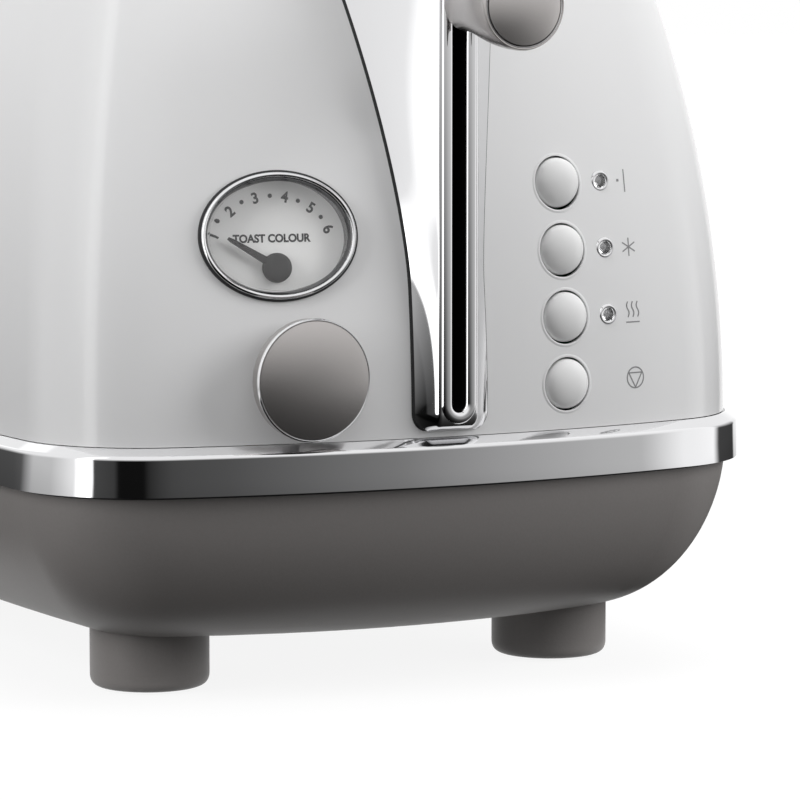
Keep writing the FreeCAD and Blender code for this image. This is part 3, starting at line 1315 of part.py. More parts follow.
def make_lamps():
    """Three indicator lamps: a bright ring in the shell and a clear light pipe in it."""
    rings, lenses = [], []
    for n in range(LAMPS):
        face = f"lamp_face_{n + 1}"
        at = ("lamp_x", f"{face} - lamp_proud", f"lamp_z - {n} * button_pitch")
        tube = rod(f"RingTube{n}", "lamp_ring", "lamp_proud + lamp_depth", at)
        hole = rod(f"RingHole{n}", f"lamp_lens + {PLAY}", "lamp_proud + lamp_depth + 2",
                   (at[0], f"{at[1]} - 1", at[2]))
        rings.append(cut(f"Ring{n}", tube, hole))
        start = f"({face} - lamp_proud - 0.3)"
        lenses.append(rod(f"Lens{n}", "lamp_lens", f"-control_y - led_height - 0.3 - {start}",
                          (at[0], start, at[2])))
    subpart("lamp_rings", group("LampRings", *rings))
    subpart("lamp_lenses", group("LampLenses", *lenses))


# ---------------------------------------------------------------- build, check and write

def check(item):
    """Stop if a piece failed to build."""
    shape = item.Shape
    if shape.isNull() or not shape.isValid() or not shape.Solids:
        raise RuntimeError(f"{item.Label} did not build")


def write_parts():
    """Write each piece to a file of its own."""
    os.makedirs("parts", exist_ok=True)
    for item in doc.Objects:
        if "Invalid" in item.State or "Error" in item.State:
            raise RuntimeError(f"{item.Name} failed: {item.State}")
    for item in subparts:
        check(item)
    for item in subparts:
        item.Shape.exportStep(f"parts/{item.Label}.step")
        box_now = item.Shape.BoundBox
        print(f"{item.Label}: {len(item.Shape.Solids)} solid(s), {item.Shape.Volume:.1f} mm3, "
              f"y {box_now.YMin:.1f} to {box_now.YMax:.1f}, z {box_now.ZMin:.1f} to {box_now.ZMax:.1f}")
    print(len(subparts), "pieces")


def main():
    for step in (make_shell, make_top_cover, make_band, make_base, make_fin, make_slot_bezel, make_feet,
                 make_cord_gland, make_crumb_tray, make_front_plate, make_rear_plate, make_chamber, make_guards,
                 make_carriage, make_lift_spring, make_lever, make_gauge, make_gears, make_gear_bracket,
                 make_knob, make_board, make_buttons, make_lamps):
        step()
    doc.recompute()
    write_parts()


main()
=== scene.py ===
"""Looks of a two-slice pop-up toaster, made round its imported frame.

The file is laid out as an add-on and run as a script. -Y is the end with the lever and the controls.
"""
import math

import bmesh
import bpy
from bpy.props import FloatProperty, FloatVectorProperty, PointerProperty
from mathutils import Matrix, Vector


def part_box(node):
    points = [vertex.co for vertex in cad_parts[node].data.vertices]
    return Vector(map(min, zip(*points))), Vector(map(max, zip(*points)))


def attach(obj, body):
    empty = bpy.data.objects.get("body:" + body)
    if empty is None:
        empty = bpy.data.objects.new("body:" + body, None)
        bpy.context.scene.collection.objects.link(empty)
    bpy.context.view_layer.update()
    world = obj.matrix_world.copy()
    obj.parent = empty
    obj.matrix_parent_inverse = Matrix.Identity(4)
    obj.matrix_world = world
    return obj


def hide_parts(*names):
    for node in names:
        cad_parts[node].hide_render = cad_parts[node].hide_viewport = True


bl_info = {
    "name": "Pop-up toaster",
    "version": (1, 0, 0),
    "blender": (4, 5, 0),
    "location": "3D View > Sidebar > Toaster",
    "description": "Makes the visible pieces of a two-slice pop-up toaster round its frame",
    "category": "Object",
}

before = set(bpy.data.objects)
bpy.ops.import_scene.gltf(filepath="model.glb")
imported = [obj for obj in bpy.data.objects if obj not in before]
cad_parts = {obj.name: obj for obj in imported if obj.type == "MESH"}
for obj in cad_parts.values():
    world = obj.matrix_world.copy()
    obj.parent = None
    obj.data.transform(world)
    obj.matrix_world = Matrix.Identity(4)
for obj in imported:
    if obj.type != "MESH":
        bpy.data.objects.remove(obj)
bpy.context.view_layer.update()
MM = 0.001

BAND_LOW, BAND_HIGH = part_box("trim_band")
BACK_SHIFT = (BAND_LOW.y + BAND_HIGH.y) / 2 / MM      # middle of the body, behind the frame's origin
HALF_X = (BAND_HIGH.x - BAND_LOW.x) / 2 / MM
HALF_Y = (BAND_HIGH.y - BAND_LOW.y) / 2 / MM
BAND_FOOT, BAND_TOP = BAND_LOW.z / MM, BAND_HIGH.z / MM
COVER_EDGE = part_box("body_shell")[1].z / MM


# ---------------------------------------------------------------- sizes and colours

def length(name, millimetres, about):
    return FloatProperty(name=name, description=about, default=millimetres * MM, precision=5,
                         unit="LENGTH", subtype="DISTANCE")


def number(name, value, about):
    return FloatProperty(name=name, description=about, default=value, min=0.0)


def colour(name, shade, about):
    return FloatVectorProperty(name=name, description=about, default=shade, size=3, min=0.0, max=1.0,
                               subtype="COLOR")


class ToasterBody(bpy.types.PropertyGroup):
    """The painted body, its band and its base."""
    end_bow: length("End bow", 16.6, "How far each end bows out")
    side_bow: length("Side bow", 7.7, "How far each side bows out")
    corner: length("Corner", 34.0, "Plan radius of the band's corners")
    inset: length("Shell inset", 3.0, "Shell's step in from the band")
    side_curve: length("Side curve", 450.0, "Radius of the sides, seen from the end")
    end_curve: length("End curve", 314.0, "Radius of the ends, seen from the side")
    shoulder_start: length("Shoulder start", 186.0, "Height where the shoulder begins")
    shoulder: length("Shoulder", 22.0, "Radius of the shoulder")
    wall: length("Wall", 1.0, "Sheet thickness of the shell")
    slot_half_x: length("Slot half width", 15.5, "Half width of a bread slot")
    slot_half_y: length("Slot half length", 70.0, "Half length of a bread slot")
    slot_corner: length("Slot corner", 7.0, "Corner radius of a bread slot")
    slot_x: length("Slot middle", 23.0, "Middle of a bread slot from the centre line")
    rim: length("Slot rim", 1.6, "Width of the rolled rim round a bread slot")


class ToasterFin(bpy.types.PropertyGroup):
    """The fin, its slot and the lever."""
    front: length("Fin front", 144.0, "Fin's front face from the middle of the body")
    foot: length("Fin foot", 63.5, "Lower end of the fin")
    face: length("Fin face", 5.2, "Half width of the fin's front face")
    root: length("Fin root", 9.3, "Half width of the fin at its foot")
    flare_start: length("Flare start", 98.0, "Height where the root widens")
    flare: length("Flare", 9.3, "Widening of the root at the lever")
    flare_top: length("Top flare", 16.0, "Further widening at the top")
    bend: length("Bend", 176.0, "Height where the fin turns back")
    nose: length("Nose", 32.0, "Radius of that turn")
    slot: length("Lever slot", 3.4, "Width of the lever slot")
    lever_z: length("Lever height", 160.7, "Height of the lever at rest")


class ToasterFinish(bpy.types.PropertyGroup):
    """Colours of the finishes."""
    enamel: colour("Enamel", (0.74, 0.74, 0.745), "White stove enamel of the body")
    chrome: colour("Chrome", (0.80, 0.80, 0.81), "Bright trim")
    base_grey: colour("Base grey", (0.225, 0.212, 0.206), "Warm grey plastic of the base and feet")
    control_grey: colour("Control grey", (0.50, 0.478, 0.468), "Warm grey plastic of the knob and lever")
    white: colour("Button white", (0.83, 0.83, 0.83), "White plastic of the buttons")
    dial: colour("Dial", (0.76, 0.76, 0.755), "Painted dial")
    ink: colour("Ink", (0.022, 0.022, 0.024), "Dial figures and needle")
    sign: colour("Signs", (0.23, 0.23, 0.235), "Printed signs beside the lamps")


class ToasterStage(bpy.types.PropertyGroup):
    """Camera and lamps."""
    lens: number("Lens", 181.68, "Focal length in millimetres")
    key: number("Key lamp", 20.0, "Power of the tall lamp on the left")
    top: number("Top lamp", 17.0, "Power of the lamp overhead")
    fill: number("Fill lamp", 26.0, "Power of the lamp on the right")
    sky: number("Sky", 0.25, "Strength of the even light from all round")


class ToasterSettings(bpy.types.PropertyGroup):
    """Everything that a user would change."""
    body: PointerProperty(type=ToasterBody)
    fin: PointerProperty(type=ToasterFin)
    finish: PointerProperty(type=ToasterFinish)
    stage: PointerProperty(type=ToasterStage)


def settings():
    return bpy.context.scene.toaster


def mm(value):
    """A length property in millimetres."""
    return value / MM


# ---------------------------------------------------------------- shader node groups

def new_group(name, inputs, outputs):
    """A shader node group with its sockets; returns it, its input node and its output node."""
    group = bpy.data.node_groups.new(name, "ShaderNodeTree")
    for label, kind, value in inputs:
        socket = group.interface.new_socket(label, in_out="INPUT", socket_type=kind)
        if value is not None:
            socket.default_value = value
    for label, kind in outputs:
        group.interface.new_socket(label, in_out="OUTPUT", socket_type=kind)
    return group, group.nodes.new("NodeGroupInput"), group.nodes.new("NodeGroupOutput")


def maths(tree, operation, first, second=None, third=None):
    """A Math node; each operand is a socket or a number."""
    node = tree.nodes.new("ShaderNodeMath")
    node.operation = operation
    for slot, value in enumerate((first, second, third)):
        if isinstance(value, (int, float)):
            node.inputs[slot].default_value = value
        elif value is not None:
            tree.links.new(value, node.inputs[slot])
    return node.outputs[0]


def noise(tree, vector, scale, detail, roughness=0.5):
    node = tree.nodes.new("ShaderNodeTexNoise")
    node.inputs["Detail"].default_value = detail
    node.inputs["Roughness"].default_value = roughness
    tree.links.new(vector, node.inputs["Vector"])
    if isinstance(scale, (int, float)):
        node.inputs["Scale"].default_value = scale
    else:
        tree.links.new(scale, node.inputs["Scale"])
    return node.outputs["Fac"]


def grain_group():
    """Fine moulded or sprayed grain: a height and a speckle."""
    group, start, end = new_group("Surface Grain", [
        ("Vector", "NodeSocketVector", None), ("Scale", "NodeSocketFloat", 900.0),
        ("Waviness Scale", "NodeSocketFloat", 60.0), ("Waviness", "NodeSocketFloat", 0.2)],
        [("Height", "NodeSocketFloat"), ("Speckle", "NodeSocketFloat")])
    fine = noise(group, start.outputs["Vector"], start.outputs["Scale"], 2.0, 0.6)
    broad = noise(group, start.outputs["Vector"], start.outputs["Waviness Scale"], 1.0)
    swell = maths(group, "MULTIPLY", broad, start.outputs["Waviness"])
    group.links.new(maths(group, "ADD", fine, swell), end.inputs["Height"])
    group.links.new(fine, end.inputs["Speckle"])
    return group


def smudge_group():
    """Soft uneven patches from wiping and handling, as a mask about a half."""
    group, start, end = new_group("Handling Marks", [
        ("Vector", "NodeSocketVector", None), ("Scale", "NodeSocketFloat", 18.0),
        ("Amount", "NodeSocketFloat", 0.05), ("Level", "NodeSocketFloat", 0.3)],
        [("Roughness", "NodeSocketFloat"), ("Mask", "NodeSocketFloat")])
    patches = noise(group, start.outputs["Vector"], start.outputs["Scale"], 5.0, 0.62)
    swing = maths(group, "MULTIPLY", maths(group, "SUBTRACT", patches, 0.5), start.outputs["Amount"])
    group.links.new(maths(group, "ADD", swing, start.outputs["Level"]), end.inputs["Roughness"])
    group.links.new(patches, end.inputs["Mask"])
    return group


def brushed_group():
    """Fine lines along one axis, as drawn wire, rolled sheet and turned metal show."""
    group, start, end = new_group("Brushed Lines", [
        ("Vector", "NodeSocketVector", None), ("Stretch", "NodeSocketVector", (1.0, 1.0, 1.0)),
        ("Scale", "NodeSocketFloat", 600.0)], [("Height", "NodeSocketFloat"), ("Tone", "NodeSocketFloat")])
    stretch = group.nodes.new("ShaderNodeVectorMath")
    stretch.operation = "MULTIPLY"
    group.links.new(start.outputs["Vector"], stretch.inputs[0])
    group.links.new(start.outputs["Stretch"], stretch.inputs[1])
    lines = noise(group, stretch.outputs[0], start.outputs["Scale"], 3.0, 0.65)
    group.links.new(lines, end.inputs["Height"])
    group.links.new(maths(group, "MULTIPLY_ADD", lines, 0.3, 0.85), end.inputs["Tone"])
    return group


def wear_group():
    """Rubbed edges lighter, and painted shade that darkens the hollows, from how sharply the surface turns.
    """
    group, start, end = new_group("Edge Wear and Hollow Shade", [
        ("Vector", "NodeSocketVector", None), ("Edge", "NodeSocketFloat", 0.1),
        ("Hollow", "NodeSocketFloat", 0.1)], [("Tone", "NodeSocketFloat")])
    geometry = group.nodes.new("ShaderNodeNewGeometry")
    patches = noise(group, start.outputs["Vector"], 140.0, 3.0)
    raised = maths(group, "SUBTRACT", geometry.outputs["Pointiness"], 0.5)
    sharp = maths(group, "MULTIPLY", maths(group, "MAXIMUM", raised, 0.0), patches)
    # Painted shade: hollows are darkened by how sharply the surface curves in.
    hollow_shade = maths(group, "MULTIPLY", maths(group, "MAXIMUM", maths(group, "MULTIPLY", raised, -1.0), 0.0), 1.0)
    lift = maths(group, "MULTIPLY", sharp, start.outputs["Edge"])
    drop = maths(group, "MULTIPLY", hollow_shade, start.outputs["Hollow"])
    tone = maths(group, "ADD", maths(group, "SUBTRACT", lift, drop), 1.0)
    group.links.new(maths(group, "MINIMUM", maths(group, "MAXIMUM", tone, 0.4), 1.3), end.inputs["Tone"])
    return group


GROUPS = {}


def build_groups():
    GROUPS.update(grain=grain_group(), smudge=smudge_group(), brushed=brushed_group(), wear=wear_group())


def place_group(tree, name, vector, **values):
    """One of the shared groups in a material, with its own values."""
    node = tree.nodes.new("ShaderNodeGroup")
    node.node_tree = GROUPS[name]
    tree.links.new(vector, node.inputs["Vector"])
    for label, value in values.items():
        node.inputs[label.replace("_", " ")].default_value = value
    return node


def finish(name, shade, roughness, metallic=0.0, grain=None, bump=0.0, brushed=None, uneven=0.05,
           speckle=0.04, wear=(0.6, 0.6), coat=0.0, coat_roughness=0.05, transmission=0.0, specular=0.5):
    """A finish: a Principled surface with grain or brushing, handling marks, worn edges and painted shade in
    its hollows.
    """
    material = bpy.data.materials.new(name)
    material.use_nodes = True
    tree = material.node_tree
    surface = tree.nodes["Principled BSDF"]
    place = tree.nodes.new("ShaderNodeTexCoord").outputs["Object"]
    surface.inputs["Metallic"].default_value = metallic
    surface.inputs["Coat Weight"].default_value = coat
    surface.inputs["Coat Roughness"].default_value = coat_roughness
    surface.inputs["Transmission Weight"].default_value = transmission
    surface.inputs["Specular IOR Level"].default_value = specular
    marks = place_group(tree, "smudge", place, Amount=uneven, Level=roughness, Scale=22.0)
    tree.links.new(marks.outputs["Roughness"], surface.inputs["Roughness"])
    # Lighter worn edges, and painted shade that darkens the hollows.
    edges = place_group(tree, "wear", place, Edge=wear[0], Hollow=wear[1])
    tone = edges.outputs["Tone"]
    height = None
    if grain:
        texture = place_group(tree, "grain", place, Scale=grain[0], Waviness=grain[1])
        height = texture.outputs["Height"]
        spots = maths(tree, "MULTIPLY_ADD", texture.outputs["Speckle"], speckle, 1.0 - speckle / 2)
        tone = maths(tree, "MULTIPLY", tone, spots)
    if brushed:
        lines = place_group(tree, "brushed", place, Stretch=brushed, Scale=700.0)
        height = lines.outputs["Height"]
        tone = maths(tree, "MULTIPLY", tone, lines.outputs["Tone"])
    scale = tree.nodes.new("ShaderNodeVectorMath")
    scale.operation = "SCALE"
    scale.inputs[0].default_value = shade
    tree.links.new(tone, scale.inputs["Scale"])
    tree.links.new(scale.outputs[0], surface.inputs["Base Color"])
    if height is not None and bump:
        relief = tree.nodes.new("ShaderNodeBump")
        relief.inputs["Strength"].default_value = 1.0
        relief.inputs["Distance"].default_value = bump * MM
        tree.links.new(height, relief.inputs["Height"])
        tree.links.new(relief.outputs["Normal"], surface.inputs["Normal"])
    return material


FINISHES = {}


def build_finishes():
    """Every finish on the toaster, by the name of its slot in the record or its own."""
    tint = settings().finish
    along_x, along_y, along_z = (0.02, 1.0, 1.0), (1.0, 0.02, 1.0), (1.0, 1.0, 0.02)
    FINISHES.update(
        painted_shell=finish("Stove enamel", tint.enamel, 0.30, grain=(260.0, 1.2), bump=0.004, speckle=0.01,
                             uneven=0.04, wear=(0.2, 0.5), coat=0.75, coat_roughness=0.06),
        bright_chrome=finish("Polished chrome", tint.chrome, 0.045, 1.0, grain=(90.0, 1.0), bump=0.0015,
                             speckle=0.01, uneven=0.03, wear=(0.0, 0.6)),
        satin_chrome=finish("Satin chrome", (0.62, 0.62, 0.63), 0.24, 1.0, brushed=along_z, bump=0.003),
        grey_plastic=finish("Grained grey plastic", tint.base_grey, 0.46, grain=(1500.0, 0.3), bump=0.02,
                            speckle=0.10, uneven=0.06, wear=(0.8, 0.4)),
        control_plastic=finish("Satin grey plastic", tint.control_grey, 0.26, 0.95, grain=(1800.0, 0.2),
                               bump=0.004, speckle=0.04, coat=0.15, coat_roughness=0.18),
        white_plastic=finish("White button plastic", tint.white, 0.22, grain=(900.0, 0.4), bump=0.002,
                             speckle=0.015, wear=(0.1, 0.8), coat=0.4, coat_roughness=0.08),
        clear_lens=finish("Clear lens", (1.0, 1.0, 1.0), 0.02, transmission=1.0, uneven=0.01, wear=(0.0, 0.0),
                          speckle=0.0, specular=0.12),
        dial_face=finish("Dial paint", tint.dial, 0.5, grain=(1200.0, 0.3), bump=0.002, speckle=0.03),
        black_enamel=finish("Matt black", (0.02, 0.02, 0.021), 0.5, grain=(900.0, 0.2), bump=0.006),
        black_rubber=finish("Black rubber", (0.022, 0.022, 0.023), 0.62, grain=(700.0, 0.5), bump=0.02,
                            speckle=0.2),
        plain_steel=finish("Zinc-plated steel", (0.52, 0.52, 0.53), 0.3, 1.0, brushed=along_x, bump=0.004,
                           uneven=0.14),
        bright_reflector=finish("Rolled aluminium", (0.72, 0.72, 0.73), 0.22, 1.0, brushed=along_y,
                                bump=0.003, uneven=0.16),
        rack_wire=finish("Drawn wire", (0.48, 0.47, 0.46), 0.28, 1.0, brushed=along_z, bump=0.003,
                         uneven=0.12),
        mica=finish("Pressed mica", (0.52, 0.44, 0.33), 0.42, grain=(120.0, 1.6), bump=0.03, speckle=0.5,
                    uneven=0.2),
        heating_alloy=finish("Heating ribbon", (0.34, 0.31, 0.29), 0.38, 1.0, brushed=along_y, bump=0.003,
                             uneven=0.15),
        spring_steel=finish("Spring steel", (0.38, 0.38, 0.40), 0.3, 1.0, grain=(500.0, 0.4), bump=0.004),
        magnet_coil=finish("Copper winding", (0.50, 0.23, 0.12), 0.3, 1.0, brushed=along_x, bump=0.03),
        gear_plastic=finish("Acetal", (0.70, 0.69, 0.65), 0.4, grain=(800.0, 0.4), bump=0.004),
        component_black=finish("Component black", (0.035, 0.035, 0.038), 0.45, grain=(1200.0, 0.2),
                               bump=0.01),
        circuit_board=finish("Solder mask", (0.02, 0.11, 0.05), 0.3, grain=(400.0, 0.6), bump=0.006,
                             speckle=0.15),
        lamp_light=finish("Tinted epoxy", (0.80, 0.42, 0.18), 0.15, grain=(300.0, 0.5), bump=0.002, coat=0.5),
        # Satin chrome darkened, as painted shade inside the gauge's well and the lamps.
        dark_satin=finish("Satin chrome with painted shade", (0.20, 0.20, 0.205), 0.25, 1.0, grain=(500.0, 0.5),
                          bump=0.003),
        ink=finish("Dial ink", tint.ink, 0.55, grain=(1500.0, 0.2), bump=0.001, speckle=0.1, specular=0.15),
        needle=finish("Needle lacquer", (0.022, 0.021, 0.022), 0.5, grain=(1500.0, 0.2), bump=0.002,
                      specular=0.15),
        sign=finish("Sign ink", tint.sign, 0.5, grain=(1500.0, 0.2), bump=0.001, speckle=0.1),
        # Near black for the walls of the lever's slot: painted shade inside it.
        dark_cavity=finish("Painted shade inside the slot", (0.004, 0.004, 0.004), 0.8, grain=(600.0, 0.3), bump=0.004,
                           specular=0.1),
    )


# ---------------------------------------------------------------- mesh helpers

def new_object(name, mesh):
    made = bpy.data.objects.new(name, mesh)
    bpy.context.scene.collection.objects.link(made)
    return made


def mesh_object(name, points, faces, edges=()):
    """A mesh from points in body millimetres, moved into the frame."""
    mesh = bpy.data.meshes.new(name)
    mesh.from_pydata([(x * MM, (y + BACK_SHIFT) * MM, z * MM) for x, y, z in points], list(edges), faces)
    mesh.update()
    return new_object(name, mesh)


def ring_faces(rows, width, close_foot=True, close_head=True, wrap=False):
    """Quads between rows of a closed ring, with a cap at each end or a last row joined to the first."""
    faces = []
    for row in range(rows if wrap else rows - 1):
        low, high = row * width, (row + 1) % rows * width
        for n in range(width):
            m = (n + 1) % width
            faces.append((low + n, low + m, high + m, high + n))
    if not wrap and close_foot:
        faces.append(tuple(range(width - 1, -1, -1)))
    if not wrap and close_head:
        faces.append(tuple((rows - 1) * width + n for n in range(width)))
    return faces


def outward(piece):
    """Turn every face of a closed mesh outwards."""
    work = bmesh.new()
    work.from_mesh(piece.data)
    bmesh.ops.remove_doubles(work, verts=work.verts, dist=1e-7)
    bmesh.ops.recalc_face_normals(work, faces=work.faces)
    work.to_mesh(piece.data)
    work.free()
    return piece


def bake(piece):
    """Turn a piece and its modifiers into one plain mesh."""
    graph = bpy.context.evaluated_depsgraph_get()
    graph.update()
    mesh = bpy.data.meshes.new_from_object(piece.evaluated_get(graph), depsgraph=graph)
    piece.modifiers.clear()
    old = piece.data
    piece.data = mesh
    if old.users == 0:
        bpy.data.meshes.remove(old)
    return piece


def soften(piece, angle=32.0):
    """Smooth shading that stays crisp over sharp edges and flat on flat faces."""
    piece.data.shade_smooth()
    work = bmesh.new()
    work.from_mesh(piece.data)
    limit = math.radians(angle)
    for edge in work.edges:
        edge.smooth = len(edge.link_faces) != 2 or edge.calc_face_angle(0.0) < limit
    work.to_mesh(piece.data)
    work.free()
    weigh = piece.modifiers.new("Weigh", "WEIGHTED_NORMAL")
    weigh.keep_sharp = True
    weigh.weight = 60
    return bake(piece)


def cut_out(piece, cutter):
    """Take a closed cutter out of a piece, then throw the cutter away."""
    cut = piece.modifiers.new("Cut", "BOOLEAN")
    cut.operation = "DIFFERENCE"
    cut.solver = "EXACT"
    cut.object = cutter
    cut.material_mode = "TRANSFER"
    bake(piece)
    discard(cutter)
    return piece


def discard(piece):
    mesh = piece.data
    bpy.data.objects.remove(piece)
    if mesh.users == 0:
        bpy.data.meshes.remove(mesh)


def seat(piece, body, slot, *nodes, material=None):
    """Give a piece its finish, by default the one named for its slot, put it on its body and hide the CAD
    nodes that it stands for.
    """
    if material is None and not piece.data.materials:
        material = slot
    if material is not None:
        piece.data.materials.clear()
        piece.data.materials.append(FINISHES[material])
    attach(piece, body)
    if nodes:
        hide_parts(*nodes)
    return piece


def bezier(start, middle, end, steps):
    """Points along a curve that leaves start and reaches end heading for and from the middle."""
    return [start * (1 - t) ** 2 + middle * 2 * t * (1 - t) + end * t ** 2
            for t in (step / steps for step in range(steps + 1))]


def rounded(corners, steps=5):
    """An outline in the plane whose corners (a, b, radius) are rounded off."""
    points = []
    count = len(corners)
    for n, (a, b, radius) in enumerate(corners):
        here = Vector((a, b))
        if not radius or n in (0, count - 1) and corners[0][1] == 0:
            points.append(here)
            continue
        back = Vector(corners[n - 1][:2]) - here
        ahead = Vector(corners[(n + 1) % count][:2]) - here
        half = back.angle(ahead) / 2
        reach = min(radius / math.tan(half), back.length * 0.49, ahead.length * 0.49)
        start, end = here + back.normalized() * reach, here + ahead.normalized() * reach
        points += bezier(start, here, end, steps)
    return points


def turned_faces(pairs, segments):
    """Faces between pairs of rows, each a ring or a single point."""
    faces = []
    for low, high in pairs:
        for n in range(segments):
            m = (n + 1) % segments
            quad = [low[n % len(low)], low[m % len(low)], high[m % len(high)], high[n % len(high)]]
            face = list(dict.fromkeys(quad))
            if len(face) > 2:
                faces.append(face)
    return faces


def lathe(name, corners, across, height, segments=96, steps=5, angle=32.0):
    """A body turned about a line along Y; corners are (y, radius, rounding) from front to back."""
    profile = rounded(corners, steps)
    points, rows = [], []
    for y, radius in profile:
        if radius < 1e-6:
            rows.append([len(points)])
            points.append((across, y, height))
            continue
        rows.append([len(points) + n for n in range(segments)])
        points += [(x, y, z) for x, z in oval(radius, radius, (across, height), segments)]
    pairs = list(zip(rows, rows[1:]))
    if profile[0][1] > 1e-6:
        pairs.append((rows[-1], rows[0]))
    return soften(outward(mesh_object(name, points, turned_faces(pairs, segments))), angle)


# ---------------------------------------------------------------- geometry node trees

def node_tree(name, inputs):
    """A geometry tree with named inputs; returns it with its input and output nodes."""
    tree = bpy.data.node_groups.new(name, "GeometryNodeTree")
    tree.interface.new_socket("Geometry", in_out="INPUT", socket_type="NodeSocketGeometry")
    for label, kind, value in inputs:
        socket = tree.interface.new_socket(label, in_out="INPUT", socket_type=kind)
        if value is not None:
            socket.default_value = value
    tree.interface.new_socket("Geometry", in_out="OUTPUT", socket_type="NodeSocketGeometry")
    return tree, tree.nodes.new("NodeGroupInput"), tree.nodes.new("NodeGroupOutput")


def finish_tree(tree, start, end, shape):
    """Every tree ends by making its copies real and giving them their finish."""
    real = tree.nodes.new("GeometryNodeRealizeInstances")
    paint = tree.nodes.new("GeometryNodeSetMaterial")
    tree.links.new(shape, real.inputs["Geometry"])
    tree.links.new(real.outputs["Geometry"], paint.inputs["Geometry"])
    tree.links.new(start.outputs["Material"], paint.inputs["Material"])
    tree.links.new(paint.outputs["Geometry"], end.inputs["Geometry"])
    return tree


def swept_tree():
    """A section carried round a closed path that lies level."""
    tree, start, end = node_tree("Swept Trim", [
        ("Section", "NodeSocketObject", None), ("Material", "NodeSocketMaterial", None)])
    path = tree.nodes.new("GeometryNodeMeshToCurve")
    tree.links.new(start.outputs["Geometry"], path.inputs["Mesh"])
    level = tree.nodes.new("GeometryNodeSetCurveNormal")
    level.mode = "Z_UP"
    tree.links.new(path.outputs["Curve"], level.inputs["Curve"])
    section = tree.nodes.new("GeometryNodeObjectInfo")
    section.transform_space = "ORIGINAL"
    tree.links.new(start.outputs["Section"], section.inputs["Object"])
    outline = tree.nodes.new("GeometryNodeMeshToCurve")
    tree.links.new(section.outputs["Geometry"], outline.inputs["Mesh"])
    sweep = tree.nodes.new("GeometryNodeCurveToMesh")
    tree.links.new(level.outputs["Curve"], sweep.inputs["Curve"])
    tree.links.new(outline.outputs["Curve"], sweep.inputs["Profile Curve"])
    return finish_tree(tree, start, end, sweep.outputs["Mesh"])


def set_out_tree():
    """Copies of one piece, one at each point of a mesh."""
    tree, start, end = node_tree("Set Out Pieces", [
        ("Piece", "NodeSocketObject", None), ("Piece Scale", "NodeSocketFloat", 1.0),
        ("Material", "NodeSocketMaterial", None)])
    source = tree.nodes.new("GeometryNodeObjectInfo")
    source.transform_space = "ORIGINAL"
    tree.links.new(start.outputs["Piece"], source.inputs["Object"])
    copies = tree.nodes.new("GeometryNodeInstanceOnPoints")
    tree.links.new(start.outputs["Geometry"], copies.inputs["Points"])
    tree.links.new(source.outputs["Geometry"], copies.inputs["Instance"])
    tree.links.new(start.outputs["Piece Scale"], copies.inputs["Scale"])
    return finish_tree(tree, start, end, copies.outputs["Instances"])


TREES = {}


def build_trees():
    TREES.update(swept=swept_tree(), set_out=set_out_tree())


def grow(piece, tree_name, **values):
    """Run a tree on a piece with its inputs set, and keep the result as plain mesh."""
    modifier = piece.modifiers.new("Nodes", "NODES")
    tree = TREES[tree_name]
    modifier.node_group = tree
    sockets = {item.name: item.identifier for item in tree.interface.items_tree
               if item.item_type == "SOCKET" and item.in_out == "INPUT"}
    for label, value in values.items():
        modifier[sockets[label.replace("_", " ")]] = value
    return bake(piece)


def path_object(name, points):
    """A closed loop of edges through points in body millimetres."""
    count = len(points)
    return mesh_object(name, points, [], [(n, (n + 1) % count) for n in range(count)])


def section_object(name, outline):
    """A closed section: x is out from the path and y is up, in millimetres."""
    mesh = bpy.data.meshes.new(name)
    count = len(outline)
    mesh.from_pydata([(x * MM, -y * MM, 0) for x, y in outline],
                     [(n, (n + 1) % count) for n in range(count)], [])
    return new_object(name, mesh)


def swept(name, path, outline, material, angle=32.0):
    """A trim whose section follows a level path."""
    piece = path_object(name, path)
    section = section_object(name + "_section", outline)
    grow(piece, "swept", Section=section, Material=FINISHES[material])
    discard(section)
    return soften(outward(piece), angle)


def set_out(name, pattern, places, material):
    """One pattern piece, made about the origin, set out at places in body millimetres."""
    piece = mesh_object(name, places, [])
    grow(piece, "set_out", Piece=pattern, Material=FINISHES[material])
    discard(pattern)
    return soften(outward(piece))


# ---------------------------------------------------------------- the body's outlines

def turned_in(radius, rise):
    """How far an arc of this radius has turned in after rising this far."""
    return radius - math.sqrt(max(radius ** 2 - rise ** 2, 0.0))


def bow_radius(half, bow):
    """Radius of an arc from half its chord and its rise."""
    return (half ** 2 + bow ** 2) / (2 * bow)


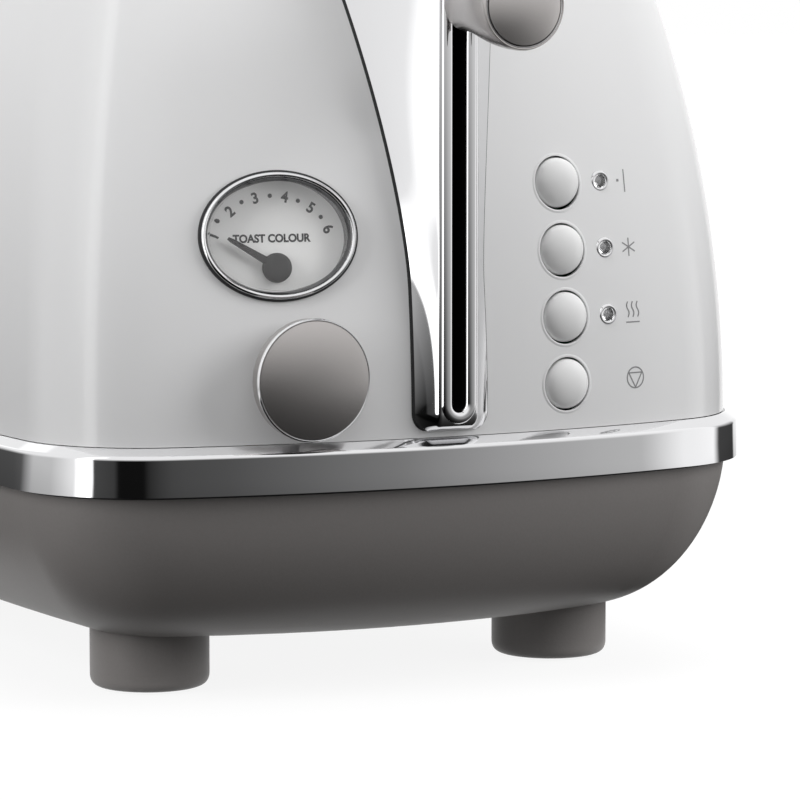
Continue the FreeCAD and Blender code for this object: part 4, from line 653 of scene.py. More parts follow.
def outline_arcs(half_x, half_y, corner):
    """The eight arcs of a bowed outline, anticlockwise from the +X side: (centre, radius, from, to)."""
    body = settings().body
    end_bow, side_bow = mm(body.end_bow), mm(body.side_bow)
    end_radius, side_radius = bow_radius(half_x, end_bow), bow_radius(half_y, side_bow)
    end_y, side_x = half_y - end_radius, half_x - side_radius
    span = math.hypot(side_x, end_y)
    end_reach, side_reach = end_radius - corner, side_radius - corner
    along = (span ** 2 + end_reach ** 2 - side_reach ** 2) / (2 * span)
    across = math.sqrt(end_reach ** 2 - along ** 2)
    unit = (side_x / span, -end_y / span)
    corner_x, corner_y = unit[0] * along - unit[1] * across, end_y + unit[1] * along + unit[0] * across
    if corner_x < 0 or corner_y < 0:
        corner_x, corner_y = unit[0] * along + unit[1] * across, end_y + unit[1] * along - unit[0] * across
    end_turn = math.atan2(corner_y - end_y, corner_x)
    side_turn = math.atan2(corner_y, corner_x - side_x)
    pi = math.pi
    return [((side_x, 0), side_radius, -side_turn, side_turn),
            ((corner_x, corner_y), corner, side_turn, end_turn),
            ((0, end_y), end_radius, end_turn, pi - end_turn),
            ((-corner_x, corner_y), corner, pi - end_turn, pi - side_turn),
            ((-side_x, 0), side_radius, pi - side_turn, pi + side_turn),
            ((-corner_x, -corner_y), corner, pi + side_turn, pi + end_turn),
            ((0, -end_y), end_radius, pi + end_turn, 2 * pi - end_turn),
            ((corner_x, -corner_y), corner, 2 * pi - end_turn, 2 * pi - side_turn)]


ARC_STEPS = (44, 16, 48, 16, 44, 16, 48, 16)


def outline(half_x, half_y, corner, height):
    """Points round a bowed outline, the same number to each arc at every height."""
    points = []
    for (centre, radius, start, end), steps in zip(outline_arcs(half_x, half_y, corner), ARC_STEPS):
        for n in range(steps):
            turn = start + (end - start) * n / steps
            points.append((centre[0] + radius * math.cos(turn), centre[1] + radius * math.sin(turn), height))
    return points


def shell_step(height, extra=0.0):
    """The shell's half width, half length and corner radius at a height."""
    body = settings().body
    rise = height - BAND_TOP
    shoulder = turned_in(mm(body.shoulder), max(height - mm(body.shoulder_start), 0.0))
    step = mm(body.inset) + shoulder + extra
    return (HALF_X - step - turned_in(mm(body.side_curve), rise),
            HALF_Y - step - turned_in(mm(body.end_curve), rise), max(mm(body.corner) - step, 6.0))


def shell_face(across, height):
    """The front face of the shell at a place on it."""
    half_x, half_y, _ = shell_step(height)
    return turned_in(bow_radius(half_x, mm(settings().body.end_bow)), across) - half_y


def shell_normal(x, y, z):
    """The outward direction of the shell's outer surface."""
    body = settings().body
    half_x, half_y, corner = shell_step(z)
    arcs = outline_arcs(half_x, half_y, corner)
    (side_x, _), _, _, side_turn = arcs[0]
    (corner_x, corner_y), _, _, _ = arcs[1]
    (_, end_y), _, end_turn, _ = arcs[2]
    ax, ay = abs(x), abs(y)
    if math.atan2(ay - end_y, ax) >= end_turn:
        nx, ny = ax, ay - end_y
    elif math.atan2(ay, ax - side_x) <= side_turn:
        nx, ny = ax - side_x, ay
    else:
        nx, ny = ax - corner_x, ay - corner_y
    plan = math.hypot(nx, ny)
    nx, ny = nx / plan, ny / plan
    rise = z - BAND_TOP
    side, end = mm(body.side_curve), mm(body.end_curve)
    over = min(max(z - mm(body.shoulder_start), 0.0) / mm(body.shoulder), 0.999)
    lean = over / math.sqrt(1 - over ** 2)
    tip = (nx * (rise / math.sqrt(side ** 2 - rise ** 2) + lean)
           + ny * (rise / math.sqrt(end ** 2 - rise ** 2) + lean))
    return Vector((math.copysign(nx, x), math.copysign(ny, y), tip)).normalized()


def prism(name, outline_xz, front, back):
    """A closed block along Y from an outline in X and Z."""
    count = len(outline_xz)
    points = [(x, y, z) for y in (front, back) for x, z in outline_xz]
    piece = mesh_object(name, points, ring_faces(2, count))
    return outward(piece)


def oval(half_x, half_z, middle=(0.0, 0.0), count=72):
    return [(middle[0] + half_x * math.cos(math.tau * n / count),
             middle[1] + half_z * math.sin(math.tau * n / count)) for n in range(count)]


def stadium(half, low, high, count=16):
    """An upright strip with round ends, as an outline."""
    top = [(half * math.cos(math.pi * n / count), high - half + half * math.sin(math.pi * n / count))
           for n in range(count + 1)]
    foot = [(-half * math.cos(math.pi * n / count), low + half - half * math.sin(math.pi * n / count))
            for n in range(count + 1)]
    return top + foot


def node_middle(node):
    """Middle of a CAD node's box, in body millimetres, with its front."""
    low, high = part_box(node)
    middle = (low + high) / 2 / MM
    return middle.x, low.y / MM - BACK_SHIFT, middle.z


BUTTON_NODES = ("button_one_side", "button_defrost", "button_reheat", "button_cancel")
LAMP_PLACES = ((43.7, -130.502, 119.2), (43.7, -133.114, 103.67), (43.7, -134.889, 88.14))
LAMP_HOLE = 2.3
BUTTON_RADIUS, BUTTON_HOLE = 5.84, 6.32
SHAFT_PLACE = (-35.8, 76.7)
LEVER_OPENING = (67.0, 176.0)            # foot and head of the opening behind the fin
GAUGE_HALF = (18.15, 14.4)
GAUGE_X, GAUGE_Z = -40.1, 108.8
NEEDLE_DROP = 7.0                        # needle's pivot below the middle of the gauge
PRINT_DEPTH = 3.17                       # dial's printing behind the face of the shell


def gauge_matrix():
    """The gauge's own frame: on the shell's face, turned with its bow and leaned back with it."""
    body = settings().body
    half_x, _, _ = shell_step(GAUGE_Z)
    yaw = Matrix.Rotation(math.asin(GAUGE_X / bow_radius(half_x, mm(body.end_bow))), 4, "Z")
    tilt = Matrix.Rotation(-math.asin((GAUGE_Z - BAND_TOP) / mm(body.end_curve)), 4, "X")
    return Matrix.Translation((GAUGE_X, shell_face(GAUGE_X, GAUGE_Z), GAUGE_Z)) @ yaw @ tilt


# ---------------------------------------------------------------- operators

class TOASTER_OT_materials(bpy.types.Operator):
    """Build the shared node groups, the finishes and the geometry trees"""
    bl_idname = "toaster.materials"
    bl_label = "Finishes"

    def execute(self, context):
        build_groups()
        build_finishes()
        build_trees()
        return {"FINISHED"}


class TOASTER_OT_shell(bpy.types.Operator):
    """Press the painted shell, with its openings for the controls"""
    bl_idname = "toaster.shell"
    bl_label = "Painted shell"

    def execute(self, context):
        body = settings().body
        start = mm(body.shoulder_start)
        lift = COVER_EDGE - start
        heights = [BAND_TOP + (start - BAND_TOP) * n / 44 for n in range(45)]
        heights += [start + lift * math.sin(math.pi / 2 * n / 14) for n in range(1, 15)]
        points = []
        for height in heights:
            points += outline(*shell_step(height), height)
        for height in reversed(heights):
            points += outline(*shell_step(height, mm(body.wall)), height)
        faces = ring_faces(2 * len(heights), sum(ARC_STEPS), wrap=True)
        shell = outward(mesh_object("painted_shell", points, faces))
        self.mark_outer(shell)
        for cutter in self.openings():
            cut_out(shell, cutter)
        self.shade(shell)
        seat(shell, "root", "painted_shell", "body_shell", material="painted_shell")
        return {"FINISHED"}

    def mark_outer(self, shell):
        """Mark the faces of the outer surface, by where their middles lie."""
        mark = shell.data.attributes.new("outer", "INT", "FACE")
        for face in shell.data.polygons:
            x, y, z = face.center / MM
            away = shell_normal(x, y - BACK_SHIFT, z)
            mark.data[face.index].value = 1 if face.normal.dot(away) > 0.7 else 0

    def openings(self):
        """Cutters for the lever, gauge, knob shaft, buttons and lamps."""
        deep, back = -HALF_Y - 4, -HALF_Y + 34
        fin = settings().fin
        cutters = [prism("cut_lever", stadium(mm(fin.slot) / 2 + 2.2, *LEVER_OPENING), deep, back),
                   prism("cut_shaft", oval(4.0, 4.0, SHAFT_PLACE, 40), deep, back)]
        gauge = prism("cut_gauge", oval(GAUGE_HALF[0] - 1.0, GAUGE_HALF[1] - 1.0),
                      -9 - BACK_SHIFT, 9 - BACK_SHIFT)
        place_in_gauge(gauge)
        cutters.append(gauge)
        for node in BUTTON_NODES:
            x, _, z = node_middle(node)
            cutters.append(prism("cut_" + node, oval(BUTTON_HOLE, BUTTON_HOLE, (x, z), 64), deep, back))
        for number, (x, _, z) in enumerate(LAMP_PLACES):
            cutters.append(prism(f"cut_lamp_{number}", oval(LAMP_HOLE, LAMP_HOLE, (x, z), 40), deep, back))
        return cutters

    def shade(self, shell):
        """Shade the outer surface by its exact direction and the rest face by face."""
        mesh = shell.data
        mesh.shade_smooth()
        outer = mesh.attributes["outer"]
        corners = [None] * len(mesh.loops)
        for face in mesh.polygons:
            on_face = outer.data[face.index].value
            for corner in face.loop_indices:
                if on_face:
                    x, y, z = mesh.vertices[mesh.loops[corner].vertex_index].co / MM
                    corners[corner] = shell_normal(x, y - BACK_SHIFT, z)
                else:
                    corners[corner] = face.normal.copy()
        mesh.normals_split_custom_set(corners)
        mesh.attributes.remove(outer)


def place_in_gauge(piece):
    """Carry a mesh made about the origin, in metres, into the gauge's place in the frame."""
    place = gauge_matrix()
    place.translation = (place.translation + Vector((0, BACK_SHIFT, 0))) * MM
    piece.data.transform(place)
    piece.data.update()
    return piece


class TOASTER_OT_top_cover(bpy.types.Operator):
    """Press the top cover and roll a rim round each bread slot"""
    bl_idname = "toaster.top_cover"
    bl_label = "Top cover"

    def execute(self, context):
        body = settings().body
        start, radius = mm(body.shoulder_start), mm(body.shoulder)
        top = start + radius
        first = math.asin((COVER_EDGE - start) / radius)
        turns = [first + (math.pi / 2 - first) * n / 9 for n in range(10)]
        rows = [outline(*shell_step(start + radius * math.sin(turn)), start + radius * math.sin(turn))
                for turn in turns]
        under = [[(x, y, z - mm(body.wall)) for x, y, z in row] for row in reversed(rows)]
        cover = self.skin(rows, under)
        half_x, half_y = mm(body.slot_half_x), mm(body.slot_half_y)
        for side in (-1, 1):
            middle = side * mm(body.slot_x)
            loop = self.slot_loop(middle, half_x + 0.6, half_y + 0.6, mm(body.slot_corner) + 0.6, 0.0)
            points = [(x, y, z) for z in (top - 6, top + 6) for x, y, _ in loop]
            cut_out(cover, outward(mesh_object("cut_slot", points, ring_faces(2, len(loop)))))
        soften(cover, 20.0)
        seat(cover, "root", "painted_shell", "top_cover", material="painted_shell")
        section = rounded([(0.0, -5.0, 0.2), (0.8, -5.0, 0.2), (0.8, -1.4, 0.9), (1.6, -1.0, 0.3),
                           (1.6, 1.5, 1.1), (0.0, 1.5, 1.0)], 5)
        for side, name in ((-1, "left"), (1, "right")):
            loop = self.slot_loop(side * mm(body.slot_x), half_x, half_y, mm(body.slot_corner), top)
            rim = swept("slot_rim_" + name, loop, section, "bright_chrome")
            seat(rim, "root", "bright_chrome")
        return {"FINISHED"}

    def skin(self, rows, under):
        """One closed skin: outer rows, flat top, and the same underneath."""
        width = sum(ARC_STEPS)
        points = [point for row in rows + under for point in row]
        faces = ring_faces(len(rows) + len(under), width, wrap=True)
        drop = len(rows) - 1
        faces = [face for index, face in enumerate(faces) if not drop * width <= index < (drop + 1) * width]
        faces.append(tuple(drop * width + n for n in range(width)))
        faces.append(tuple((drop + 1) * width + n for n in reversed(range(width))))
        return outward(mesh_object("top_cover_skin", points, faces))

    def slot_loop(self, middle, half_x, half_y, corner, height):
        """A bread slot's outline, anticlockwise."""
        loop = []
        for quarter, (sx, sy) in enumerate(((1, 1), (-1, 1), (-1, -1), (1, -1))):
            for n in range(13):
                turn = math.pi / 2 * (quarter + n / 12)
                loop.append((middle + sx * (half_x - corner) + corner * math.cos(turn),
                             sy * (half_y - corner) + corner * math.sin(turn), height))
        return loop


class TOASTER_OT_band(bpy.types.Operator):
    """Roll the bright trim band round the body, with the dark gasket under it"""
    bl_idname = "toaster.band"
    bl_label = "Trim band"

    def execute(self, context):
        corner = mm(settings().body.corner)
        path = outline(HALF_X, HALF_Y, corner, BAND_FOOT)
        high = BAND_TOP - BAND_FOOT
        section = rounded([(0.0, 0.0, 1.9), (0.0, high - 2.0, 1.3), (-2.7, high - 0.1, 0.5),
                           (-4.0, high - 0.15, 0.2), (-4.0, high - 1.4, 0.3), (-5.6, high - 1.4, 0.3),
                           (-5.6, 0.6, 0.3), (-3.0, 0.0, 0.4)], 7)
        band = swept("band_trim", path, section, "bright_chrome", 60.0)
        seat(band, "root", "bright_chrome", "trim_band")
        gasket = swept("band_gasket", outline(HALF_X - 2.1, HALF_Y - 2.1, corner - 2.1, BAND_FOOT),
                       rounded([(0.0, -0.7, 0.3), (0.0, 0.3, 0.1), (-2.6, 0.3, 0.1), (-2.6, -0.7, 0.1)], 4),
                       "black_rubber")
        seat(gasket, "root", "black_rubber")
        return {"FINISHED"}


class TOASTER_OT_fin(bpy.types.Operator):
    """Form the bright fin, cut the lever's slot in it and frame the slot"""
    bl_idname = "toaster.fin"
    bl_label = "Fin and slot"
    foot_round = 4.2         # rounding of the foot, in millimetres like the rest
    dish, foot_dish = -0.02, 0.13        # hollow of the flanks as a share of their depth, and at the foot
    dish_rise = 60           # height over which the foot's hollow fades out
    face_inset = 0.45        # front face's step in from the fin's stated half width
    root_return = 0.75       # how far the flank's root stands off the shell
    edge_round = 0.6
    frame_width = 2.7        # width of the slot's frame
    # Width of the painted shade line along the fin's root.
    shade_line_width = 0.5

    def execute(self, context):
        fin = settings().fin
        foot, bend = mm(fin.foot), mm(fin.bend)
        head = mm(settings().body.shoulder_start) + mm(settings().body.shoulder) - 0.2
        heights = [foot + self.foot_round * (1 - math.cos(math.pi / 2 * n / 8)) for n in range(9)]
        heights += [heights[8] + (bend - heights[8]) * n / 44 for n in range(1, 45)]
        heights += [bend + (head - bend) * math.sin(math.pi / 2 * n / 16) for n in range(1, 17)]
        rows = [self.section(height) for height in heights]
        points = [point for row in rows for point in row]
        body = outward(mesh_object("fin_skin", points, ring_faces(len(rows), len(rows[0]))))
        half = mm(fin.slot) / 2 + 0.1
        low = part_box("slot_bezel")[0].z / MM + self.frame_width
        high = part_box("slot_bezel")[1].z / MM - self.frame_width
        cutter = prism("cut_slot", stadium(half, low, high), -mm(fin.front) - 5, -mm(fin.front) + 30)
        body.data.materials.append(FINISHES["bright_chrome"])
        # The slot's cut walls take near black: painted shade inside the slot.
        cutter.data.materials.append(FINISHES["dark_cavity"])
        cut_out(body, cutter)
        soften(body, 30.0)
        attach(body, "root")
        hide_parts("fin_housing")
        self.frame(low, high, half)
        self.seam(heights)
        return {"FINISHED"}

    def half_root(self, height):
        fin = settings().fin
        height = min(height, COVER_EDGE)
        start, lever = mm(fin.flare_start), mm(fin.lever_z)
        up = max(height - start, 0.0) / (lever - start)
        over = max(height - lever, 0.0) / (COVER_EDGE - lever)
        return mm(fin.root) + mm(fin.flare) * up ** 1.4 + mm(fin.flare_top) * over ** 2

    def section(self, height):
        """The fin's section: hollow flanks, rounded front edges and a back that lies in the shell."""
        fin = settings().fin
        nose = mm(fin.nose)
        root = self.half_root(height)
        face = mm(fin.face) - self.face_inset
        left = max(1 - (height - mm(fin.foot)) / self.foot_round, 0.0)
        pull = self.foot_round * (1 - math.sqrt(1 - left ** 2))
        rise = min(max(height - mm(fin.bend), 0.0), nose * 0.995)
        front = -mm(fin.front) + turned_in(nose, rise) + pull * 0.98
        root -= pull * 0.85
        face -= pull * 0.2
        back = shell_face(root, min(height, COVER_EDGE))
        foot, tip = Vector((root, back - self.root_return)), Vector((face, front))
        run = tip - foot
        above = min((height - mm(fin.foot)) / self.dish_rise, 1.0)
        dish = self.foot_dish + (self.dish - self.foot_dish) * above
        ctrl = (foot + tip) / 2 + Vector((run.y, -run.x)) * dish
        flank = bezier(foot, ctrl, tip, 14)
        edge = min(self.edge_round, face * 0.4, abs(back - front) * 0.35 + 0.02)
        while len(flank) > 3 and (flank[-1] - tip).length < edge:
            flank.pop()
        start = tip + (flank[-1] - tip).normalized() * edge
        turn = Vector((face - edge, front))
        bend = bezier(start, tip, turn, 6)
        spread = self.evened(flank + bend[:1], 14) + bend[1:]
        half = [Vector((root, back + 1.6)), Vector((root, back))] + spread
        mirrored = [Vector((-point.x, point.y)) for point in reversed(half)]
        return [(point.x, point.y, height) for point in half + mirrored]

    def evened(self, points, count):
        """The same polyline with a set number of evenly spaced points."""
        lengths = [0.0]
        for first, second in zip(points, points[1:]):
            lengths.append(lengths[-1] + (second - first).length)
        made = []
        for n in range(count + 1):
            want = lengths[-1] * n / count
            index = max(i for i, value in enumerate(lengths) if value <= want + 1e-9)
            index = min(index, len(points) - 2)
            share = (want - lengths[index]) / max(lengths[index + 1] - lengths[index], 1e-9)
            made.append(points[index].lerp(points[index + 1], min(share, 1.0)))
        return made

    def frame(self, low, high, half):
        """The bezel round the slot, swept lying down and then stood up against the fin."""
        wide = self.frame_width
        loop = [(x, z, 0.0) for x, z in stadium(half + wide, low - wide, high + wide)]
        crown = [(-1.4 + 1.4 * n / 9, 0.8 * (1 - abs(n / 9) ** 3)) for n in range(9, -10, -1)]
        section = crown + [(-2.8, -0.6), (-2.2, -0.6), (-2.0, -0.05)]
        bezel = swept("slot_frame", loop, section, "bright_chrome")
        stand = Matrix(((1, 0, 0, 0), (0, 0, -1, (-mm(settings().fin.front) + BACK_SHIFT) * MM),
                        (0, 1, 0, -BACK_SHIFT * MM), (0, 0, 0, 1)))
        bezel.data.transform(stand)
        seat(bezel, "root", "bright_chrome", "slot_bezel")

    def seam(self, heights):
        """Painted shade: a thin black strip where the fin meets the paint, standing for the shadow gap and
        dark edge reflection along its root.
        """
        points, faces = [], []
        for height in heights:
            root = self.section(height)[1][0]
            for side in (-1, 1):
                for out, lift in ((-0.3, 0.4), (-0.3, -0.06), (self.shade_line_width, -0.03),
                                  (self.shade_line_width, 0.4)):
                    x = side * (root + out)
                    points.append((x, shell_face(abs(x), height) + lift, height))
        rows = len(heights)
        for side in (0, 1):
            for row in range(rows - 1):
                low, high = row * 8 + side * 4, (row + 1) * 8 + side * 4
                for n in range(4):
                    m = (n + 1) % 4
                    faces.append((low + n, low + m, high + m, high + n))
            faces.append(tuple(side * 4 + n for n in range(4)))
            faces.append(tuple((rows - 1) * 8 + side * 4 + n for n in reversed(range(4))))
        # The painted shade line takes the black rubber finish.
        shade_line = soften(outward(mesh_object("fin_seam", points, faces)))
        seat(shade_line, "root", "black_rubber")


class TOASTER_OT_lever(bpy.types.Operator):
    """Turn the lever's knob, its bright ring and its domed cap"""
    bl_idname = "toaster.lever"
    bl_label = "Lever"

    def execute(self, context):
        height = mm(settings().fin.lever_z)
        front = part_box("lever_cap")[0].y / MM - BACK_SHIFT
        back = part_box("lever_knob")[1].y / MM - BACK_SHIFT
        run = back - front - 3.4
        knob = lathe("lever_grip", [
            (front + 3.6, 0.0, 0), (front + 3.6, 9.4, 0), (front + 1.6, 9.4, 0.1), (front + 1.5, 9.75, 0.3),
            *[(front + 2.4 + run * n / 24, 6.1 + 3.9 * (0.5 + 0.5 * math.cos(math.pi * n / 24)) ** 0.8, 0)
              for n in range(25)], (back - 0.1, 6.1, 0), (back - 0.1, 0.0, 0)], 0.0, height, steps=6)
        seat(knob, "lever", "control_plastic", "lever_knob")
        cap = lathe("lever_face", [
            *[(front + 1.45 * (n / 10) ** 2, 8.8 * n / 10, 0) for n in range(11)], (front + 2.2, 9.02, 0.4),
            (front + 3.4, 9.05, 0.1), (front + 3.4, 0.0, 0)], 0.0, height, steps=8)
        seat(cap, "lever", "control_plastic", "lever_cap")
        ring = lathe("lever_trim", [
            (front + 1.75, 9.1, 0.1), (front + 1.45, 9.3, 0.2), (front + 3.4, 9.37, 0.1),
            (front + 3.4, 9.1, 0.1)], 0.0, height, steps=6)
        seat(ring, "lever", "bright_chrome", "lever_ring")
        return {"FINISHED"}


class TOASTER_OT_browning_knob(bpy.types.Operator):
    """Turn the browning knob with its bright ring"""
    bl_idname = "toaster.browning_knob"
    bl_label = "Browning knob"

    def execute(self, context):
        x, front, z = node_middle("browning_knob")
        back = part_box("browning_knob")[1].y / MM - BACK_SHIFT
        radius = (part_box("knob_ring")[1].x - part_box("knob_ring")[0].x) / 2 / MM
        lip = radius - 0.62
        knob = lathe("browning_dial", [
            *[(front + 1.7 * (n / 12) ** 2.1, lip * n / 12, 0) for n in range(13)],
            (front + 2.1, lip + 0.05, 0.1), (front + 2.3, radius - 0.12, 0.1), (back, radius - 0.2, 0.7),
            (back, 3.2, 0.2), (front + 3.2, 3.2, 0), (front + 3.2, 0.0, 0)], x, z, segments=128, steps=8)
        seat(knob, "browning_knob", "control_plastic", "browning_knob")
        ring = lathe("browning_trim", [
            (front + 1.85, lip + 0.08, 0.1), (front + 1.7, radius - 0.3, 0.2), (front + 2.2, radius, 0.25),
            (front + 2.55, radius, 0.1), (front + 2.5, radius - 0.2, 0.05), (front + 2.2, lip + 0.08, 0.05)],
            x, z, segments=128, steps=6)
        seat(ring, "browning_knob", "bright_chrome", "knob_ring")
        return {"FINISHED"}


class TOASTER_OT_gauge(bpy.types.Operator):
    """Make the gauge: oval bezel, dial with its figures, needle and lens"""
    bl_idname = "toaster.gauge"
    bl_label = "Gauge"
    squeeze = 0.95

    def execute(self, context):
        self.bezel()
        self.dial()
        self.needle()
        self.lens()
        return {"FINISHED"}

    def oval_rings(self, name, rows, wrap, angle=32.0):
        """A skin through ovals; each row is (inset from the bezel's edge, depth)."""
        count = 128
        points = []
        for inset, depth in rows:
            points += [(x, depth - BACK_SHIFT, z)
                       for x, z in oval(GAUGE_HALF[0] - inset, GAUGE_HALF[1] - inset, count=count)]
        faces = ring_faces(len(rows), count, wrap=wrap)
        return place_in_gauge(soften(outward(mesh_object(name, points, faces)), angle))

    def bezel(self):
        section = rounded([(0.0, 0.25, 0.05), (0.0, -0.7, 0.45), (0.5, -1.15, 0.4), (1.0, -0.85, 0.35),
                           (1.12, -0.1, 0.2), (1.12, 3.3, 0.1), (0.85, 3.3, 0.1), (0.85, 0.25, 0.1)], 6)
        bezel = self.oval_rings("gauge_rim", [tuple(point) for point in section], True)
        seat(bezel, "root", "bright_chrome", "gauge_bezel")
        well = self.oval_rings("gauge_well", [(1.1, -0.35), (1.3, -0.2), (1.75, 0.8), (1.98, 3.25),
                                              (1.9, 3.3), (1.1, 3.3)], True)
        # The well is satin chrome darkened: painted shade inside the gauge.
        seat(well, "root", "satin_chrome", material="dark_satin")
        gasket = self.oval_rings("gauge_gasket", [(-0.5, -0.08), (-0.5, 0.6), (0.3, 0.6), (0.3, -0.25),
                                                  (-0.1, -0.25)], True)
        seat(gasket, "root", "black_rubber")

    def dial(self):
        plate = self.oval_rings("gauge_plate", [(1.95, 3.2), (1.95, 3.9)], False)
        seat(plate, "root", "dial_face", "gauge_dial")
        figures = []
        arc = [("1", 152.0, 16.2), ("2", 128.3, 16.6), ("3", 105.2, 16.5), ("4", 80.6, 16.3),
               ("5", 57.2, 16.1), ("6", 34.5, 15.3)]
        for text, degrees, reach in arc:
            figures.append(self.word(text, 3.45, *self.on_arc(degrees, reach), degrees - 90))
        figures.append(self.word("TOAST COLOUR", 2.5, -0.75, -0.25, 0.0))
        marks = [(140.6, 17.1), (116.4, 16.8), (92.8, 16.4), (69.2, 16.2), (46.0, 15.8)]
        dots = []
        for degrees, reach in marks:
            across, up = self.on_arc(degrees, reach)
            dots.append((across, PRINT_DEPTH - BACK_SHIFT, up))
        spot = mesh_object("spot", [(x, y - BACK_SHIFT, z) for y in (-0.02, 0.02) for x, z in
                                    oval(0.5, 0.5, count=20)], ring_faces(2, 20))
        figures.append(set_out("dial_dots", outward(spot), dots, "ink"))
        printed = joined("dial_figures", figures)
        place_in_gauge(printed)
        seat(printed, "root", "dial_face", material="ink")

    def on_arc(self, degrees, reach):
        """A place on the dial by its direction and distance from the needle's pivot."""
        turn = math.radians(degrees)
        return reach * math.cos(turn), reach * math.sin(turn) - NEEDLE_DROP

    def word(self, text, size, across, up, degrees):
        """A word or figure as a thin mesh on the dial, about its own middle."""
        curve = bpy.data.curves.new("word", "FONT")
        curve.body = text
        curve.size = size * MM
        curve.align_x, curve.align_y = "CENTER", "CENTER"
        curve.extrude = 0.012 * MM
        curve.offset = 0.1 * MM
        curve.resolution_u = 6
        made = new_object("word", curve)
        bpy.context.view_layer.update()
        graph = bpy.context.evaluated_depsgraph_get()
        mesh = bpy.data.meshes.new_from_object(made.evaluated_get(graph), depsgraph=graph)
        bpy.data.objects.remove(made)
        piece = new_object("word", mesh)
        middle = sum((Vector(corner) for corner in piece.bound_box), Vector()) / 8
        place = (Matrix.Translation((across * MM, PRINT_DEPTH * MM, up * MM))
                 @ Matrix.Rotation(math.radians(-degrees), 4, "Y")
                 @ Matrix.Rotation(math.pi / 2, 4, "X") @ Matrix.Scale(self.squeeze, 4, (1, 0, 0))
                 @ Matrix.Translation(-middle))
        piece.data.transform(place)
        return piece

    def needle(self):
        hub = [(1.05, 0.0), (1.12, 1.6), (1.3, 2.7), (1.75, 3.3), (2.9, 3.4), (2.9, 1.0), (15.5, 0.95),
               (16.2, 0.0)]
        count = 48
        points, rows = [], []
        for depth, radius in hub:
            rows.append([len(points) + n for n in range(count if radius else 1)])
            points += [(x, depth - BACK_SHIFT, z)
                       for x, z in oval(radius, radius, (0.0, -NEEDLE_DROP), count)[:len(rows[-1])]]
        faces = turned_faces(zip(rows, rows[1:]), count)
        turn = math.radians(149.0)
        ray, side = Vector((math.cos(turn), math.sin(turn))), Vector((-math.sin(turn), math.cos(turn)))
        first = len(points)
        for depth in (1.55, 2.15):
            for reach, half in ((2.0, 0.9), (12.0, 0.48), (13.2, 0.3), (13.2, -0.3), (12.0, -0.48),
                                (2.0, -0.9)):
                spot = ray * reach + side * half
                points.append((spot.x, depth - BACK_SHIFT, spot.y - NEEDLE_DROP))
        faces += [tuple(first + n for n in face) for face in ring_faces(2, 6)]
        piece = soften(outward(mesh_object("gauge_pointer", points, faces)))
        place_in_gauge(piece)
        seat(piece, "needle", "black_enamel", "gauge_needle", material="needle")

    def lens(self):
        high = GAUGE_HALF[1]
        rows = [(high - 0.5, -0.78), (high - 5, -0.76), (6.0, -0.7), (3.2, -0.6), (2.05, -0.45),
                (2.0, -0.2), (3.2, -0.35), (6.0, -0.45), (high - 5, -0.5), (high - 0.5, -0.52)]
        glass = self.oval_rings("gauge_glass", rows, False, 80.0)
        glass.visible_shadow = glass.visible_diffuse = False
        seat(glass, "root", "clear_lens", "gauge_lens")


def joined(name, pieces):
    """Several meshes as one."""
    work = bmesh.new()
    for piece in pieces:
        work.from_mesh(piece.data)
        discard(piece)
    mesh = bpy.data.meshes.new(name)
    work.to_mesh(mesh)
    work.free()
    return new_object(name, mesh)


class TOASTER_OT_buttons(bpy.types.Operator):
    """Turn the four domed push buttons and roll the paint's edge round their holes"""
    bl_idname = "toaster.buttons"
    bl_label = "Buttons"

    def execute(self, context):
        for node in BUTTON_NODES:
            x, front, z = node_middle(node)
            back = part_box(node)[1].y / MM - BACK_SHIFT
            dome = [(front + 2.5 * (1 - math.cos(math.pi / 2 * n / 12)),
                     BUTTON_RADIUS * math.sin(math.pi / 2 * n / 12), 0)
                    for n in range(13)]
            button = lathe(node + "_cap", dome + [
                (front + 8.0, BUTTON_RADIUS, 0.3), (front + 8.0, 2.0, 0.1), (back, 2.0, 0.2),
                (back, 0.0, 0)], x, z, segments=72, steps=7)
            seat(button, node, "white_plastic", node)
            lip = self.rolled_lip(node + "_lip", x, z)
            seat(lip, "root", "painted_shell")
        return {"FINISHED"}

    def rolled_lip(self, name, x, z):
        """The paint's rolled edge round a hole, following the shell."""
        count = 96
        points = []
        for radius, lift in ((6.24, 0.3), (6.22, 0.05), (6.28, -0.09), (6.44, -0.15), (6.64, -0.12),
                             (6.87, -0.04), (7.05, 0.04), (7.05, 0.2), (6.5, 0.3)):
            points += [(across, shell_face(across, up) + lift, up)
                       for across, up in oval(radius, radius, (x, z), count)]
        return soften(outward(mesh_object(name, points, ring_faces(9, count, wrap=True))), 60.0)


